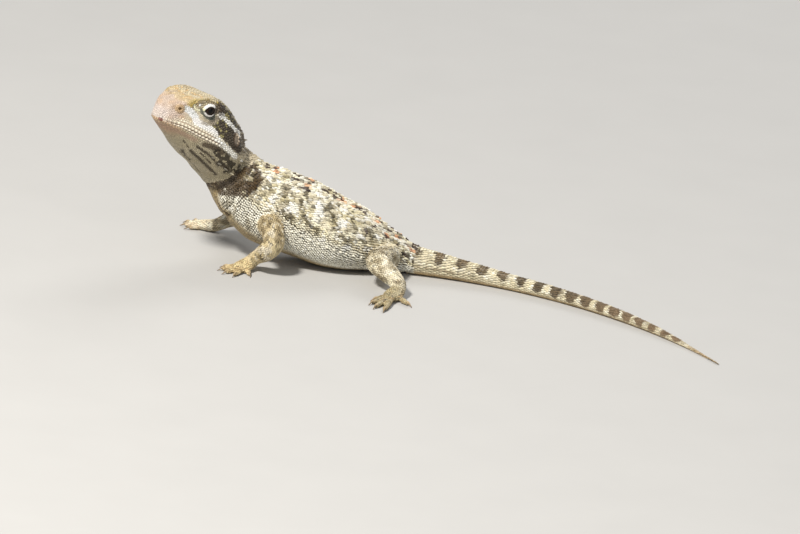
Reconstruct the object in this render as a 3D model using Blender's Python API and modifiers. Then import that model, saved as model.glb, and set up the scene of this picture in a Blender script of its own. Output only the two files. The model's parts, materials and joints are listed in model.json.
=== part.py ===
"""Rankins dragon, a juvenile, as a still life-size model in one alert pose.

The animal faces -X with its head turned to its left. It is 72 mm from snout to vent and has a 95 mm tail.
All sizes below are millimetres. The root empty sets the origin at the bottom centre of the model's box.
"""

import math

import bmesh
import bpy
import numpy as np
from mathutils import Matrix, Vector

MM = 0.001
GAP = 0.3  # clearance between neighbouring pieces

# Head, in its own frame: back from the snout tip, up from the mouth's tip, and out to the side
SNOUT_TIP = (-45.7, -11.5, 36.3)
HEAD_YAW = 35.0  # turned to the animal's left, degrees
HEAD_PITCH = 20.0  # snout raised, degrees
HEAD_STATIONS = (0.0, 0.5, 1.3, 2.6, 4.2, 6.0, 8.0, 10.2, 12.6, 15.2, 17.8, 20.4, 22.8, 25.0, 26.6)
CROWN = (
    (0, 1.2), (0.3, 2.6), (0.6, 3.6), (1.2, 4.5), (3, 6.0), (4.5, 6.9),
    (8, 8.1), (11, 8.8), (14, 8.9), (16, 8.5), (18.7, 7.4), (22.6, 5.0),
    (26.6, 2.4),
)
THROAT = (
    (0, -0.9), (0.7, -1.5), (2.4, -2.5), (5.3, -4.2), (8.4, -6.1), (11.1, -7.5),
    (15.6, -8.9), (19.7, -11.1), (24, -12.6), (26.6, -13.0),
)
MOUTH = (
    (0, -0.1), (1, -0.25), (5, 0.1), (10, -0.4), (15.4, -0.9), (18, -1.6),
    (26.6, -3.2),
)
BROW_WIDTH = (
    (0, 1.2), (0.6, 2.4), (2, 3.9), (4, 5.6), (6, 6.4), (8, 6.8),
    (10, 6.9), (12, 6.6), (14.5, 5.8), (19, 5.4), (23, 4.6), (26.6, 3.7),
)
BROW_DROP = (
    (0, 0.3), (2, 0.6), (3.4, 0.0), (5, -0.7), (8, -1.05), (11, -1.05),
    (13.2, 0.6), (19, 1.9), (26.6, 2.2),
)
CHEEK_WIDTH = (
    (0, 1.3), (1, 2.8), (3, 4.3), (6, 5.4), (10, 6.7), (15, 8.2),
    (19, 8.6), (22.5, 8.0), (26.6, 6.0),
)
LIP_WIDTH = (
    (0, 1.2), (1, 2.8), (3, 4.5), (6, 5.9), (10, 7.3), (15, 8.6),
    (19, 8.8), (22.5, 8.3), (26.6, 6.2),
)
JAW_WIDTH = (
    (0, 0.9), (1, 2.1), (3, 3.2), (6, 4.5), (10, 5.9), (15, 7.4),
    (20, 8.2), (22.5, 8.0), (26.6, 6.2),
)
MOUTH_END = 16.0  # how far back the mouth's corner lies
LIP_HEIGHT = 1.0
LIP_GROOVE = 0.6

EYE_AT = (10.3, 4.7, 5.9)  # back, out, up
EYE_RADIUS = 2.05
EYE_LOOK = (-0.22, 0.97, 0.08)  # back, out, up
LID_THICKNESS = 0.5
LID_OPENING = (1.55, 1.1)  # half length and half height
NOSTRIL_AT = (3.6, 3.9, 3.8)
NOSTRIL_RADIUS = 0.42
EAR_AT = (19.6, 8.9, 2.2)
EAR_RADII = (1.3, 0.9, 1.7)

# Backbone: centre, half width, height above the centre, depth below it
TRUNK = (
    ((-33.0, -3.0, 27.4), 5.2, 5.0, 5.0),
    ((-26.7, 0.0, 20.7), 6.4, 6.7, 6.5),
    ((-22.0, 0.0, 16.3), 7.6, 8.0, 8.0),
    ((-16.0, 0.0, 13.0), 8.9, 9.4, 9.4),
    ((-7.6, 0.0, 10.7), 10.3, 9.0, 9.2),
    ((-0.4, 0.0, 8.3), 10.7, 8.1, 8.4),
    ((4.8, 0.0, 6.7), 9.5, 7.7, 7.2),
    ((11.4, 0.0, 4.7), 6.8, 6.1, 4.8),
    ((18.3, 0.0, 3.0), 3.8, 4.0, 3.1),
)
TRUNK_SQUARE = 2.3  # 2 is an ellipse
TRUNK_SIDES = 24
TRUNK_STEP = 2.0
NECK_ENDS_AT = -20.5  # X of the section where the torso starts

TAIL_LENGTH = 95.0
TAIL_HEADINGS = ((0, 4), (0.12, 11), (0.5, 34), (1, 58))  # share of the tail, degrees towards -Y
TAIL_RADII = (
    (0, 3.1), (0.06, 2.95), (0.16, 2.45), (0.27, 1.9), (0.38, 1.68), (0.5, 1.5),
    (0.61, 1.3), (0.71, 1.05), (0.81, 0.72), (0.87, 0.46), (0.93, 0.32), (1, 0.26),
)
# Share of the tail, and its height above the middle times its radius
TAIL_CREST = ((0, 1.29), (0.07, 1.06), (0.15, 1.0), (1, 1.0))
TAIL_SIDES = 12
TAIL_STEP = 2.6
TAIL_PIECES = (
    ("tail_base", 0.0, 0.22),
    ("tail_middle", 0.22, 0.48),
    ("tail_end", 0.48, 0.76),
    ("tail_tip", 0.76, 1.0),
)
FLAT_SINK = 0.12  # how far feet, belly and tail are pressed flat on the ground

# Limbs: path points with half width and half height, from inside the trunk to the end of the palm or sole
LIMB_SIDES = 12
LIMB_STEP = 1.3
ARM_LEFT = (
    ((-16.0, -4.0, 11.4), 2.8, 2.8),
    ((-15.7, -8.0, 11.1), 2.9, 2.9),
    ((-14.4, -12.4, 9.9), 2.6, 2.6),
    ((-13.9, -15.0, 8.2), 2.4, 2.4),
    ((-15.6, -13.8, 5.5), 2.2, 2.2),
    ((-17.8, -11.8, 3.3), 1.7, 1.6),
    ((-19.3, -11.8, 1.8), 2.0, 1.5),
    ((-20.9, -13.4, 1.1), 2.4, 1.25),
    ((-21.9, -14.7, 0.9), 1.8, 0.95),
)
ARM_RIGHT = (
    ((-16.4, 4.0, 13.2), 3.3, 3.3),
    ((-16.8, 8.6, 12.6), 3.2, 3.1),
    ((-18.2, 13.0, 10.2), 2.5, 2.5),
    ((-20.4, 15.2, 7.6), 2.3, 2.3),
    ((-23.6, 15.4, 5.0), 2.2, 2.2),
    ((-26.8, 15.4, 3.0), 1.7, 1.6),
    ((-28.9, 16.4, 1.7), 2.0, 1.5),
    ((-31.1, 17.9, 1.15), 2.4, 1.25),
    ((-32.6, 19.1, 0.9), 1.8, 0.95),
)
LEG_LEFT = (
    ((13.4, -2.2, 4.6), 3.2, 3.2),
    ((13.2, -6.2, 4.9), 3.4, 3.1),
    ((12.0, -10.8, 5.7), 3.1, 3.0),
    ((11.6, -14.4, 5.8), 2.7, 2.6),
    ((14.2, -17.2, 4.5), 2.4, 2.3),
    ((16.9, -19.6, 2.8), 1.8, 1.7),
    ((16.8, -21.6, 1.7), 2.0, 1.5),
    ((15.9, -23.9, 1.1), 2.4, 1.2),
    ((15.4, -25.6, 0.9), 1.8, 0.95),
)
LEG_RIGHT = (
    ((13.0, 2.2, 4.2), 3.1, 2.9),
    ((12.2, 6.0, 4.1), 3.2, 2.8),
    ((10.4, 10.2, 3.7), 2.9, 2.5),
    ((9.4, 13.4, 3.2), 2.5, 2.3),
    ((11.2, 16.2, 2.8), 2.2, 2.0),
    ((13.2, 18.8, 2.2), 1.7, 1.6),
    ((12.6, 20.8, 1.5), 2.0, 1.4),
    ((10.9, 22.6, 1.1), 2.4, 1.2),
    ((9.8, 23.9, 0.9), 1.8, 0.95),
)
ELBOW, WRIST = 3.0, 5.0  # path point where the limb is divided

# Digits: degrees from straight ahead towards the animal's flank, and reach from the palm's middle
HAND_DIGITS = ((-50, 4.8), (-26, 5.8), (-3, 6.3), (21, 6.3), (58, 4.6))
FOOT_DIGITS = ((-34, 5.8), (-19, 8.4), (-5, 10.4), (9, 11.6), (56, 6.2))
DIGIT_RADIUS = 0.74
DIGIT_SIDES = 8
# Share of the digit, and its thickness there times its radius
KNUCKLES = ((0, 1.1), (0.3, 1.18), (0.46, 0.92), (0.62, 1.05), (0.8, 0.84), (1, 0.72))
DIGIT_HEIGHTS = ((0, 1.0), (0.28, 1.15), (0.5, 0.74), (1, 0.5))
CLAW_LENGTH = 1.3
CLAW_RADIUS = 0.36

# Spiny scales: rows on the head's rear and along the flanks, with a seeded variation
SPINE_SIDES = 5
SPINE_SEED = 4
LENGTH_SPREAD = 0.14  # share of a spine's length
AIM_SPREAD = 0.09  # radians, about
FLANK_ANGLE = -8.0  # degrees below the trunk's widest line
FLANK_SPACING = 1.7
FLANK_FROM, FLANK_TO = -12.6, 9.4

SKIN = (0.62, 0.55, 0.42)
BELLY_SKIN = (0.74, 0.70, 0.58)
FOOT_SKIN = (0.66, 0.50, 0.28)
EYE_BLACK = (0.02, 0.015, 0.01)


def through(keys, at):
    """Smooth value at `at` through rows of (place, value), with no overshoot between them."""
    x = np.array([k[0] for k in keys], float)
    y = np.array([np.atleast_1d(k[1]) for k in keys], float)
    step = np.diff(x)[:, None]
    slope = np.diff(y, axis=0) / step
    tangent = np.zeros_like(y)
    tangent[0], tangent[-1] = slope[0], slope[-1]
    same_way = slope[:-1] * slope[1:] > 0
    total = np.where(same_way, slope[:-1] + slope[1:], 1.0)
    tangent[1:-1] = np.where(same_way, 2 * slope[:-1] * slope[1:] / total, 0.0)
    at = np.clip(np.atleast_1d(np.asarray(at, float)), x[0], x[-1])
    i = np.clip(np.searchsorted(x, at, side="right") - 1, 0, len(x) - 2)
    t = ((at - x[i]) / (x[i + 1] - x[i]))[:, None]
    h = step[i]
    return (
        (1 + 2 * t) * (1 - t) ** 2 * y[i]
        + t * (1 - t) ** 2 * h * tangent[i]
        + t * t * (3 - 2 * t) * y[i + 1]
        - t * t * (1 - t) * h * tangent[i + 1]
    )


def value(keys, at):
    return float(through(keys, at)[0, 0])


def curve_through(points, at):
    """Points of a Catmull-Rom curve at path positions 0, 1, 2 and so on, or between them."""
    points = np.array(points, float)
    ends = np.vstack([2 * points[0] - points[1], points, 2 * points[-1] - points[-2]])
    at = np.clip(np.atleast_1d(np.asarray(at, float)), 0, len(points) - 1)
    i = np.minimum(at.astype(int), len(points) - 2)
    t = (at - i)[:, None]
    a, b, c, d = ends[i], ends[i + 1], ends[i + 2], ends[i + 3]
    return 0.5 * (2 * b + (c - a) * t + (2 * a - 5 * b + 4 * c - d) * t**2 + (3 * b - a - 3 * c + d) * t**3)


def unit(vectors):
    return vectors / np.linalg.norm(vectors, axis=-1, keepdims=True)


def oval(count, square):
    """Unit outline of a section, as (side, up) pairs: an ellipse that is squarer above 2."""
    angles = 2 * np.pi * (np.arange(count) + 0.5) / count
    side, up = np.cos(angles), np.sin(angles)
    power = 2.0 / square
    return np.stack([np.sign(side) * abs(side) ** power, np.sign(up) * abs(up) ** power], axis=1)


def rings_on(centres, tangents, sides, widths, ups, downs, outline):
    """Section rings: each row holds one ring of points round its centre."""
    lifts = np.cross(tangents, sides)
    rings = []
    for centre, side, lift, width, up, down in zip(centres, sides, lifts, widths, ups, downs):
        height = np.where(outline[:, 1] > 0, up, down)
        across = np.outer(outline[:, 0] * width, side)
        rings.append(centre + across + np.outer(outline[:, 1] * height, lift))
    return np.array(rings)


def new_object(name, points, faces):
    """A mesh object from points in millimetres, with its faces turned outwards."""
    mesh = bpy.data.meshes.new(name)
    build = bmesh.new()
    verts = [build.verts.new(Vector(p) * MM) for p in points]
    for face in faces:
        build.faces.new([verts[i] for i in face])
    bmesh.ops.recalc_face_normals(build, faces=build.faces)
    build.to_mesh(mesh)
    build.free()
    obj = bpy.data.objects.new(name, mesh)
    bpy.context.scene.collection.objects.link(obj)
    return obj


def loft(name, rings):
    """A closed skin over section rings, with flat ends."""
    count, sides = len(rings), len(rings[0])
    faces = [
        (r * sides + k, r * sides + (k + 1) % sides,
         (r + 1) * sides + (k + 1) % sides, (r + 1) * sides + k)
        for r in range(count - 1)
        for k in range(sides)
    ]
    faces.append(tuple(range(sides)))
    faces.append(tuple((count - 1) * sides + k for k in range(sides)))
    return new_object(name, np.concatenate(rings), faces)


def remove(obj):
    bpy.data.objects.remove(obj, do_unlink=True)


def apply_modifiers(obj):
    graph = bpy.context.evaluated_depsgraph_get()
    mesh = bpy.data.meshes.new_from_object(obj.evaluated_get(graph))
    obj.modifiers.clear()
    obj.data = mesh


def keep_largest(obj):
    """Drops every closed surface of the mesh but the largest."""
    build = bmesh.new()
    build.from_mesh(obj.data)
    bmesh.ops.remove_doubles(build, verts=build.verts, dist=1e-7)
    left = set(build.verts)
    islands = []
    while left:
        stack = [left.pop()]
        island = set(stack)
        while stack:
            for edge in stack.pop().link_edges:
                for vert in edge.verts:
                    if vert in left:
                        left.discard(vert)
                        island.add(vert)
                        stack.append(vert)
        islands.append(island)
    largest = max(islands, key=len)
    bmesh.ops.delete(build, geom=[v for v in build.verts if v not in largest], context="VERTS")
    build.to_mesh(obj.data)
    build.free()


def combine(obj, others, operation):
    """Joins closed objects to obj, or cuts them from it, and removes them."""
    group = bpy.data.collections.new("operands")
    bpy.context.scene.collection.children.link(group)
    for other in others:
        bpy.context.scene.collection.objects.unlink(other)
        group.objects.link(other)
    boolean = obj.modifiers.new("combine", "BOOLEAN")
    boolean.operation = operation
    boolean.operand_type = "COLLECTION"
    boolean.collection = group
    boolean.solver = "EXACT"
    apply_modifiers(obj)
    for other in others:
        remove(other)
    bpy.data.collections.remove(group)
    keep_largest(obj)
    return obj


def swollen(obj, amount):
    """A copy of obj with every point moved out along its normal."""
    copy = bpy.data.objects.new(obj.name + "_swollen", obj.data.copy())
    copy.matrix_world = obj.matrix_world
    bpy.context.scene.collection.objects.link(copy)
    normals = [v.normal.copy() for v in copy.data.vertices]
    for vert, normal in zip(copy.data.vertices, normals):
        vert.co += normal * amount * MM
    return copy


def cut_round(obj, *neighbours):
    """Cuts obj back from its neighbours, leaving the clearance."""
    return combine(obj, [swollen(neighbour, GAP) for neighbour in neighbours], "DIFFERENCE")


def flatten_below_ground(rings):
    rings = np.array(rings)
    rings[..., 2] = np.maximum(rings[..., 2], 0.0)
    return rings


def head_axes():
    """The head's directions: back along it, out to its left, and up."""
    yaw, pitch = math.radians(HEAD_YAW), math.radians(HEAD_PITCH)
    back = np.array((math.cos(pitch) * math.cos(yaw), math.cos(pitch) * math.sin(yaw), -math.sin(pitch)))
    left = np.array((math.sin(yaw), -math.cos(yaw), 0.0))
    up = np.array((math.sin(pitch) * math.cos(yaw), math.sin(pitch) * math.sin(yaw), math.cos(pitch)))
    return back, left, up


def head_point(back, out, up):
    """A point of the head's frame in the model's frame. `out` is positive on the animal's left."""
    axes = head_axes()
    return np.array(SNOUT_TIP) + back * axes[0] + out * axes[1] + up * axes[2]


def head_half_section(back):
    """One side of the head's section at a place along it, from the crown to the throat, as (out, up)."""
    crown, throat, mouth = (value(keys, back) for keys in (CROWN, THROAT, MOUTH))
    brow_out, brow_up = value(BROW_WIDTH, back), crown - value(BROW_DROP, back)
    cheek, lip, jaw = (value(keys, back) for keys in (CHEEK_WIDTH, LIP_WIDTH, JAW_WIDTH))
    upper = brow_up - mouth
    lower = mouth - throat
    lip_height = min(LIP_HEIGHT, 0.3 * upper, 0.3 * lower)
    groove = LIP_GROOVE * min(1.0, max(0.0, (MOUTH_END - back) / 1.5)) * min(1.0, 0.4 + back)
    return [
        (0.0, crown),
        (0.55 * brow_out, crown - 0.1),
        (brow_out, brow_up),
        (0.55 * brow_out + 0.45 * cheek, brow_up - 0.3 * upper),
        (cheek, mouth + 0.42 * upper),
        (lip, mouth + lip_height),
        (lip - groove, mouth),
        (lip - 0.1, mouth - lip_height),
        (jaw, mouth - 0.45 * lower),
        (0.62 * jaw, mouth - 0.84 * lower),
        (0.0, throat),
    ]


def head_ring(back):
    half = head_half_section(back)
    both = half + [(-out, up) for out, up in reversed(half[1:-1])]
    return [head_point(back, out, up) for out, up in both]


def ball(name, centre, radii, axes=None, segments=16, rings=10):
    """A closed ellipsoid from a UV sphere, with its radii along three directions."""
    mesh = bpy.data.meshes.new(name)
    build = bmesh.new()
    bmesh.ops.create_uvsphere(build, u_segments=segments, v_segments=rings, radius=MM)
    turn = np.eye(3) if axes is None else np.array(axes).T
    turn = turn * np.array(radii)
    if np.linalg.det(turn) < 0:
        bmesh.ops.reverse_faces(build, faces=build.faces)
    build.transform(Matrix(turn.tolist()).to_4x4())
    build.to_mesh(mesh)
    build.free()
    obj = bpy.data.objects.new(name, mesh)
    obj.location = Vector(centre) * MM
    bpy.context.scene.collection.objects.link(obj)
    bpy.context.view_layer.update()
    return obj


def eye_frame(side):
    """Centre of the eye on one side (1 is left), and its directions: along the head, out, and up."""
    back, left, up = head_axes()
    out = left * side
    look = unit(EYE_LOOK[0] * back + EYE_LOOK[1] * out + EYE_LOOK[2] * up)
    upright = unit(up - look * (up @ look))
    along = np.cross(upright, look)
    return head_point(EYE_AT[0], EYE_AT[1] * side, EYE_AT[2]), along, look, upright


def spine_cone(root, direction, length, radius, chance):
    """One spiny scale: a short cone whose root is sunk in the surface."""
    length = length * (1 + LENGTH_SPREAD * chance.uniform(-1, 1))
    direction = unit(unit(np.array(direction, float)) + AIM_SPREAD * chance.uniform(-1, 1, 3))
    across = unit(np.cross(direction, (0.31, 0.17, 0.93)))
    over = np.cross(direction, across)
    start = np.array(root, float) - direction * 0.7
    angles = 2 * np.pi * np.arange(SPINE_SIDES) / SPINE_SIDES
    base = [start + radius * (math.cos(a) * across + math.sin(a) * over) for a in angles]
    middle = [start + direction * (0.7 + 0.45 * length) + 0.62 * (p - start) for p in base]
    tip = start + direction * (0.7 + length)
    count = SPINE_SIDES
    faces = [tuple(range(count))]
    faces += [(k, (k + 1) % count, count + (k + 1) % count, count + k) for k in range(count)]
    faces += [(count + k, count + (k + 1) % count, 2 * count) for k in range(count)]
    return new_object("spine", base + middle + [tip], faces)


def head_spines():
    """Rows of spiny scales: over the temple, round the rear of the jaw, and behind the ear."""
    back, left, up = head_axes()
    chance = np.random.default_rng(SPINE_SEED)
    rows = (
        (2, (15.6, 18.0, 20.4, 22.8, 24.8), (0.6, 0.7, 0.85, 1.0, 1.0), (0.8, 0.5, 0.35)),
        (8, (16.0, 18.2, 20.4, 22.6, 24.6), (0.6, 0.75, 0.9, 1.1, 1.1), (0.75, 0.65, -0.15)),
        (4, (22.8, 24.8), (1.0, 1.1), (0.8, 0.6, 0.1)),
        (5, (22.0, 24.2), (0.9, 1.1), (0.75, 0.65, 0.0)),
    )
    spines = []
    for side in (1, -1):
        for key, places, lengths, aim in rows:
            for place, length in zip(places, lengths):
                out, height = head_half_section(place)[key]
                root = head_point(place, side * (out - 0.25), height)
                direction = aim[0] * back + aim[1] * side * left + aim[2] * up
                spines.append(spine_cone(root, direction, length, 0.55, chance))
    return spines


def make_head_form():
    """The head as a smooth closed form with its lips and brows, before eyes, ears and nostrils."""
    head = loft("head", np.array([head_ring(place) for place in HEAD_STATIONS]))
    smooth = head.modifiers.new("smooth", "SUBSURF")
    smooth.levels = smooth.render_levels = 1
    apply_modifiers(head)
    return head


def make_head(head, spines):
    """The head with eyelids, ear cups, nostrils and its spiny scales."""
    lids, hollows = [], []
    back, left, up = head_axes()
    for side in (1, -1):
        centre, along, look, upright = eye_frame(side)
        lid_radius = EYE_RADIUS + GAP + LID_THICKNESS
        axes = (along, look, upright)
        lids.append(ball("lid", centre, (lid_radius,) * 3, axes, 20, 12))
        socket = EYE_RADIUS + GAP
        hollows.append(ball("socket", centre, (socket,) * 3, axes, 20, 12))
        opening = (LID_OPENING[0], 3.0, LID_OPENING[1])
        hollows.append(ball("opening", centre + look * EYE_RADIUS, opening, axes, 16, 8))
        nostril = head_point(NOSTRIL_AT[0], NOSTRIL_AT[1] * side, NOSTRIL_AT[2])
        pit = (NOSTRIL_RADIUS, 0.9, NOSTRIL_RADIUS)
        hollows.append(ball("nostril", nostril, pit, (back, left, up), 8, 6))
        ear = head_point(EAR_AT[0], EAR_AT[1] * side, EAR_AT[2])
        hollows.append(ball("ear", ear, EAR_RADII, (back, left, up), 12, 8))
    combine(head, lids + spines, "UNION")
    combine(head, hollows, "DIFFERENCE")
    return head


def make_eyes():
    eyes = []
    for side, name in ((1, "eye_left"), (-1, "eye_right")):
        centre, along, look, upright = eye_frame(side)
        eyes.append(ball(name, centre, (EYE_RADIUS,) * 3, (along, look, upright), 20, 12))
    return eyes


def trunk_frames(at):
    """Centres, tangents, side directions and sizes of the trunk at path positions."""
    places = [row[0] for row in TRUNK]
    centres = curve_through(places, at)
    tangents = unit(curve_through(places, np.array(at) + 0.02) - curve_through(places, np.array(at) - 0.02))
    sides = unit(np.cross((0.0, 0.0, 1.0), tangents))
    sizes = through([(i, row[1:]) for i, row in enumerate(TRUNK)], at)
    return centres, tangents, sides, sizes


def trunk_rings(at, count=TRUNK_SIDES):
    centres, tangents, sides, sizes = trunk_frames(at)
    widths, ups, downs = sizes.T
    outline = oval(count, TRUNK_SQUARE)
    return flatten_below_ground(rings_on(centres, tangents, sides, widths, ups, downs, outline))


def trunk_position(x):
    """Path position of the trunk whose centre has this X."""
    dense = np.linspace(0, len(TRUNK) - 1, 2001)
    return float(np.interp(x, curve_through([row[0] for row in TRUNK], dense)[:, 0], dense))


def steps_between(start, end, length, step):
    return np.linspace(start, end, max(2, int(round(length / step)) + 1))


def make_trunk_piece(name, start_x, end_x):
    start = 0.0 if start_x is None else trunk_position(start_x)
    end = trunk_position(end_x)
    dense = curve_through([row[0] for row in TRUNK], np.linspace(start, end, 200))
    length = np.linalg.norm(np.diff(dense, axis=0), axis=1).sum()
    return loft(name, trunk_rings(steps_between(start, end, length, TRUNK_STEP)))


def flank_spines():
    """A row of spiny scales along each flank, from behind the arm to the hip, large and small in turn."""
    start, end = trunk_position(FLANK_FROM), trunk_position(FLANK_TO)
    count = int((FLANK_TO - FLANK_FROM) / FLANK_SPACING)
    angle = math.radians(FLANK_ANGLE)
    chance = np.random.default_rng(SPINE_SEED + 1)
    spines = []
    for k in range(count):
        centres, tangents, sides, sizes = trunk_frames([start + (end - start) * k / (count - 1)])
        lift = np.cross(tangents[0], sides[0])
        width, below = sizes[0][0], sizes[0][2]
        length = 0.95 if k % 2 else 0.7
        for side in (1, -1):
            out = side * math.cos(angle) * (width - 0.15)
            root = centres[0] + out * sides[0] + math.sin(angle) * below * lift
            direction = 0.75 * side * sides[0] + 0.62 * tangents[0] + 0.18 * lift
            spines.append(spine_cone(root, direction, length, 0.5, chance))
    return spines


def nape_spines():
    """Spiny scales beside the midline and on the sides of the neck."""
    chance = np.random.default_rng(SPINE_SEED + 2)
    spines = []
    for x in (-23.6, -22.0):
        centres, tangents, sides, sizes = trunk_frames([trunk_position(x)])
        lift = np.cross(tangents[0], sides[0])
        for turn in (-62, -24, 24, 62):
            a = math.radians(turn)
            root = centres[0] + math.sin(a) * sizes[0][0] * sides[0] + math.cos(a) * sizes[0][1] * lift
            away = math.sin(a) * sides[0] + math.cos(a) * lift
            spines.append(spine_cone(root - 0.3 * away, 0.6 * away + 0.8 * tangents[0], 0.95, 0.5, chance))
    return spines


def tail_path(shares):
    """Centres, directions and radii of the tail at shares of its length. It lies on the ground."""
    dense = np.linspace(0, 1, 801)
    headings = np.radians(through(TAIL_HEADINGS, dense)[:, 0])
    steps = TAIL_LENGTH / (len(dense) - 1)
    root = TRUNK[-1][0]
    x = root[0] + np.concatenate([[0], np.cumsum(np.cos(headings[:-1]))]) * steps
    y = root[1] - np.concatenate([[0], np.cumsum(np.sin(headings[:-1]))]) * steps
    radii = through(TAIL_RADII, shares)[:, 0]
    heights = radii - FLAT_SINK * radii / radii[0]
    centres = np.stack([np.interp(shares, dense, x), np.interp(shares, dense, y), heights], axis=1)
    turn = np.interp(shares, dense, headings)
    tangents = np.stack([np.cos(turn), -np.sin(turn), np.zeros_like(turn)], axis=1)
    return centres, tangents, radii


def tail_rings(shares, count=TAIL_SIDES):
    centres, tangents, radii = tail_path(np.asarray(shares, float))
    sides = np.cross((0.0, 0.0, 1.0), tangents)
    widths = radii * (1.0 + 0.2 * np.exp(-np.asarray(shares) / 0.04))
    crests = radii * through(TAIL_CREST, shares)[:, 0]
    return flatten_below_ground(rings_on(centres, tangents, sides, widths, crests, radii, oval(count, 2.0)))


def make_tail():
    clearance = 0.5 * GAP / TAIL_LENGTH
    pieces = []
    for name, start, end in TAIL_PIECES:
        first = start + (clearance if start else 2 * clearance)
        last = end - clearance if end < 1 else 1.0
        shares = steps_between(first, last, (last - first) * TAIL_LENGTH, TAIL_STEP)
        rings = tail_rings(shares)
        if last == 1.0:
            tip = rings[-1].mean(axis=0)
            rings = np.concatenate([rings, [tip + (rings[-1] - tip) * 0.4 + np.array([0.12, -0.2, 0.0])]])
            rings = flatten_below_ground(rings)
        pieces.append(loft(name, rings))
    return pieces


def limb_frames(keys, at):
    """Centres, tangents and side directions along a limb, with its width level at the palm or sole."""
    places = [row[0] for row in keys]
    centres = curve_through(places, at)
    ahead = curve_through(places, np.minimum(np.array(at) + 0.02, len(keys) - 1))
    behind = curve_through(places, np.maximum(np.array(at) - 0.02, 0))
    tangents = unit(ahead - behind)
    sides = np.zeros_like(tangents)
    sides[-1] = unit(np.cross((0.0, 0.0, 1.0), tangents[-1]))
    for i in range(len(at) - 2, -1, -1):
        carried = sides[i + 1] - tangents[i] * (sides[i + 1] @ tangents[i])
        sides[i] = unit(carried)
    return centres, tangents, sides


def limb_rings(keys, start, end, count=LIMB_SIDES, step=LIMB_STEP):
    places = [row[0] for row in keys]
    whole = np.linspace(0, len(keys) - 1, 40 * (len(keys) - 1) + 1)
    whole_centres, whole_tangents, whole_sides = limb_frames(keys, whole)
    inside = (whole >= start) & (whole <= end)
    length = np.linalg.norm(np.diff(whole_centres[inside], axis=0), axis=1).sum()
    at = steps_between(start, end, length, step)
    centres = curve_through(places, at)
    tangents = unit(np.stack([np.interp(at, whole, whole_tangents[:, k]) for k in range(3)], axis=1))
    sides = unit(np.stack([np.interp(at, whole, whole_sides[:, k]) for k in range(3)], axis=1))
    sides = unit(sides - tangents * np.sum(sides * tangents, axis=1, keepdims=True))
    sizes = through([(i, row[1:]) for i, row in enumerate(keys)], at)
    lifts = np.cross(tangents, sides)
    outline = oval(count, 2.0)
    rings = [
        centre + np.outer(outline[:, 0] * w, side) + np.outer(outline[:, 1] * h, lift)
        for centre, side, lift, (w, h) in zip(centres, sides, lifts, sizes)
    ]
    return flatten_below_ground(rings)


def path_step(keys, at):
    """Millimetres of path in one unit of path position, near a position."""
    ends = curve_through([row[0] for row in keys], [at - 0.1, at + 0.1])
    return float(np.linalg.norm(ends[1] - ends[0])) / 0.2


def digit_path(middle, heading, reach, at):
    """Centres of a digit at shares of its length: it rises from the palm and comes down to the ground."""
    forward = np.array((-math.cos(heading), math.sin(heading), 0.0))
    heights = through(DIGIT_HEIGHTS, at)[:, 0]
    ground = np.array((middle[0], middle[1], 0.0))
    centres = np.array([ground + forward * reach * t + np.array((0, 0, z)) for t, z in zip(at, heights)])
    return centres, forward


def make_digit(middle, heading, reach, radius):
    """One digit with its claw."""
    at = np.array((0.12, 0.28, 0.42, 0.55, 0.68, 0.82, 0.94, 1.0))
    centres, forward = digit_path(middle, heading, reach, at)
    side = np.cross((0.0, 0.0, 1.0), forward)
    radii = radius * through(KNUCKLES, at)[:, 0]
    radii[-1] *= 0.6
    outline = oval(DIGIT_SIDES, 2.0)
    rings = [
        centre + np.outer(outline[:, 0] * r, side) + np.outer(outline[:, 1] * r, (0.0, 0.0, 1.0))
        for centre, r in zip(centres, radii)
    ]
    return loft("digit", flatten_below_ground(rings))


def make_claw(middle, heading, reach):
    """A curved claw that starts inside the digit's end and comes down to the ground."""
    forward = np.array((-math.cos(heading), math.sin(heading), 0.0))
    side = np.cross((0.0, 0.0, 1.0), forward)
    start = np.array((middle[0], middle[1], 0.0)) + forward * (reach - 0.55)
    rings = []
    outline = oval(6, 2.0)
    for t in (0.0, 0.35, 0.7, 1.0):
        radius = CLAW_RADIUS * (1 - 0.78 * t)
        height = 0.72 + 0.16 * math.sin(math.pi * min(1.0, 1.6 * t)) - 0.62 * t**1.6
        centre = start + forward * (0.55 + CLAW_LENGTH) * t + np.array((0, 0, max(height, radius)))
        across = np.outer(outline[:, 0] * radius, side)
        rings.append(centre + across + np.outer(outline[:, 1] * radius * 1.2, (0, 0, 1.0)))
    return loft("claw", flatten_below_ground(rings))


def palm_middle(keys):
    return curve_through([row[0] for row in keys], [len(keys) - 2.4])[0]


def palm_heading(keys):
    """Direction of the palm or sole, in radians from straight ahead towards +Y."""
    ends = curve_through([row[0] for row in keys], [len(keys) - 3.0, len(keys) - 1.0])
    run = ends[1] - ends[0]
    return math.atan2(run[1], -run[0])


def make_foot(name, keys, side, digits, thickness):
    """A palm or sole with its five digits and claws, as one closed body."""
    start = WRIST + 0.5 * GAP / path_step(keys, WRIST)
    foot = loft(name, limb_rings(keys, start, len(keys) - 1.0, step=0.9))
    middle, heading = palm_middle(keys), palm_heading(keys)
    pieces = []
    for k, (turn, reach) in enumerate(digits):
        aim = heading + math.radians(turn) * side
        radius = thickness * (0.9 if k in (0, 4) else 1.0)
        pieces.append(make_digit(middle, aim, reach, radius))
        pieces.append(make_claw(middle, aim, reach))
    return combine(foot, pieces, "UNION")


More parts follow.
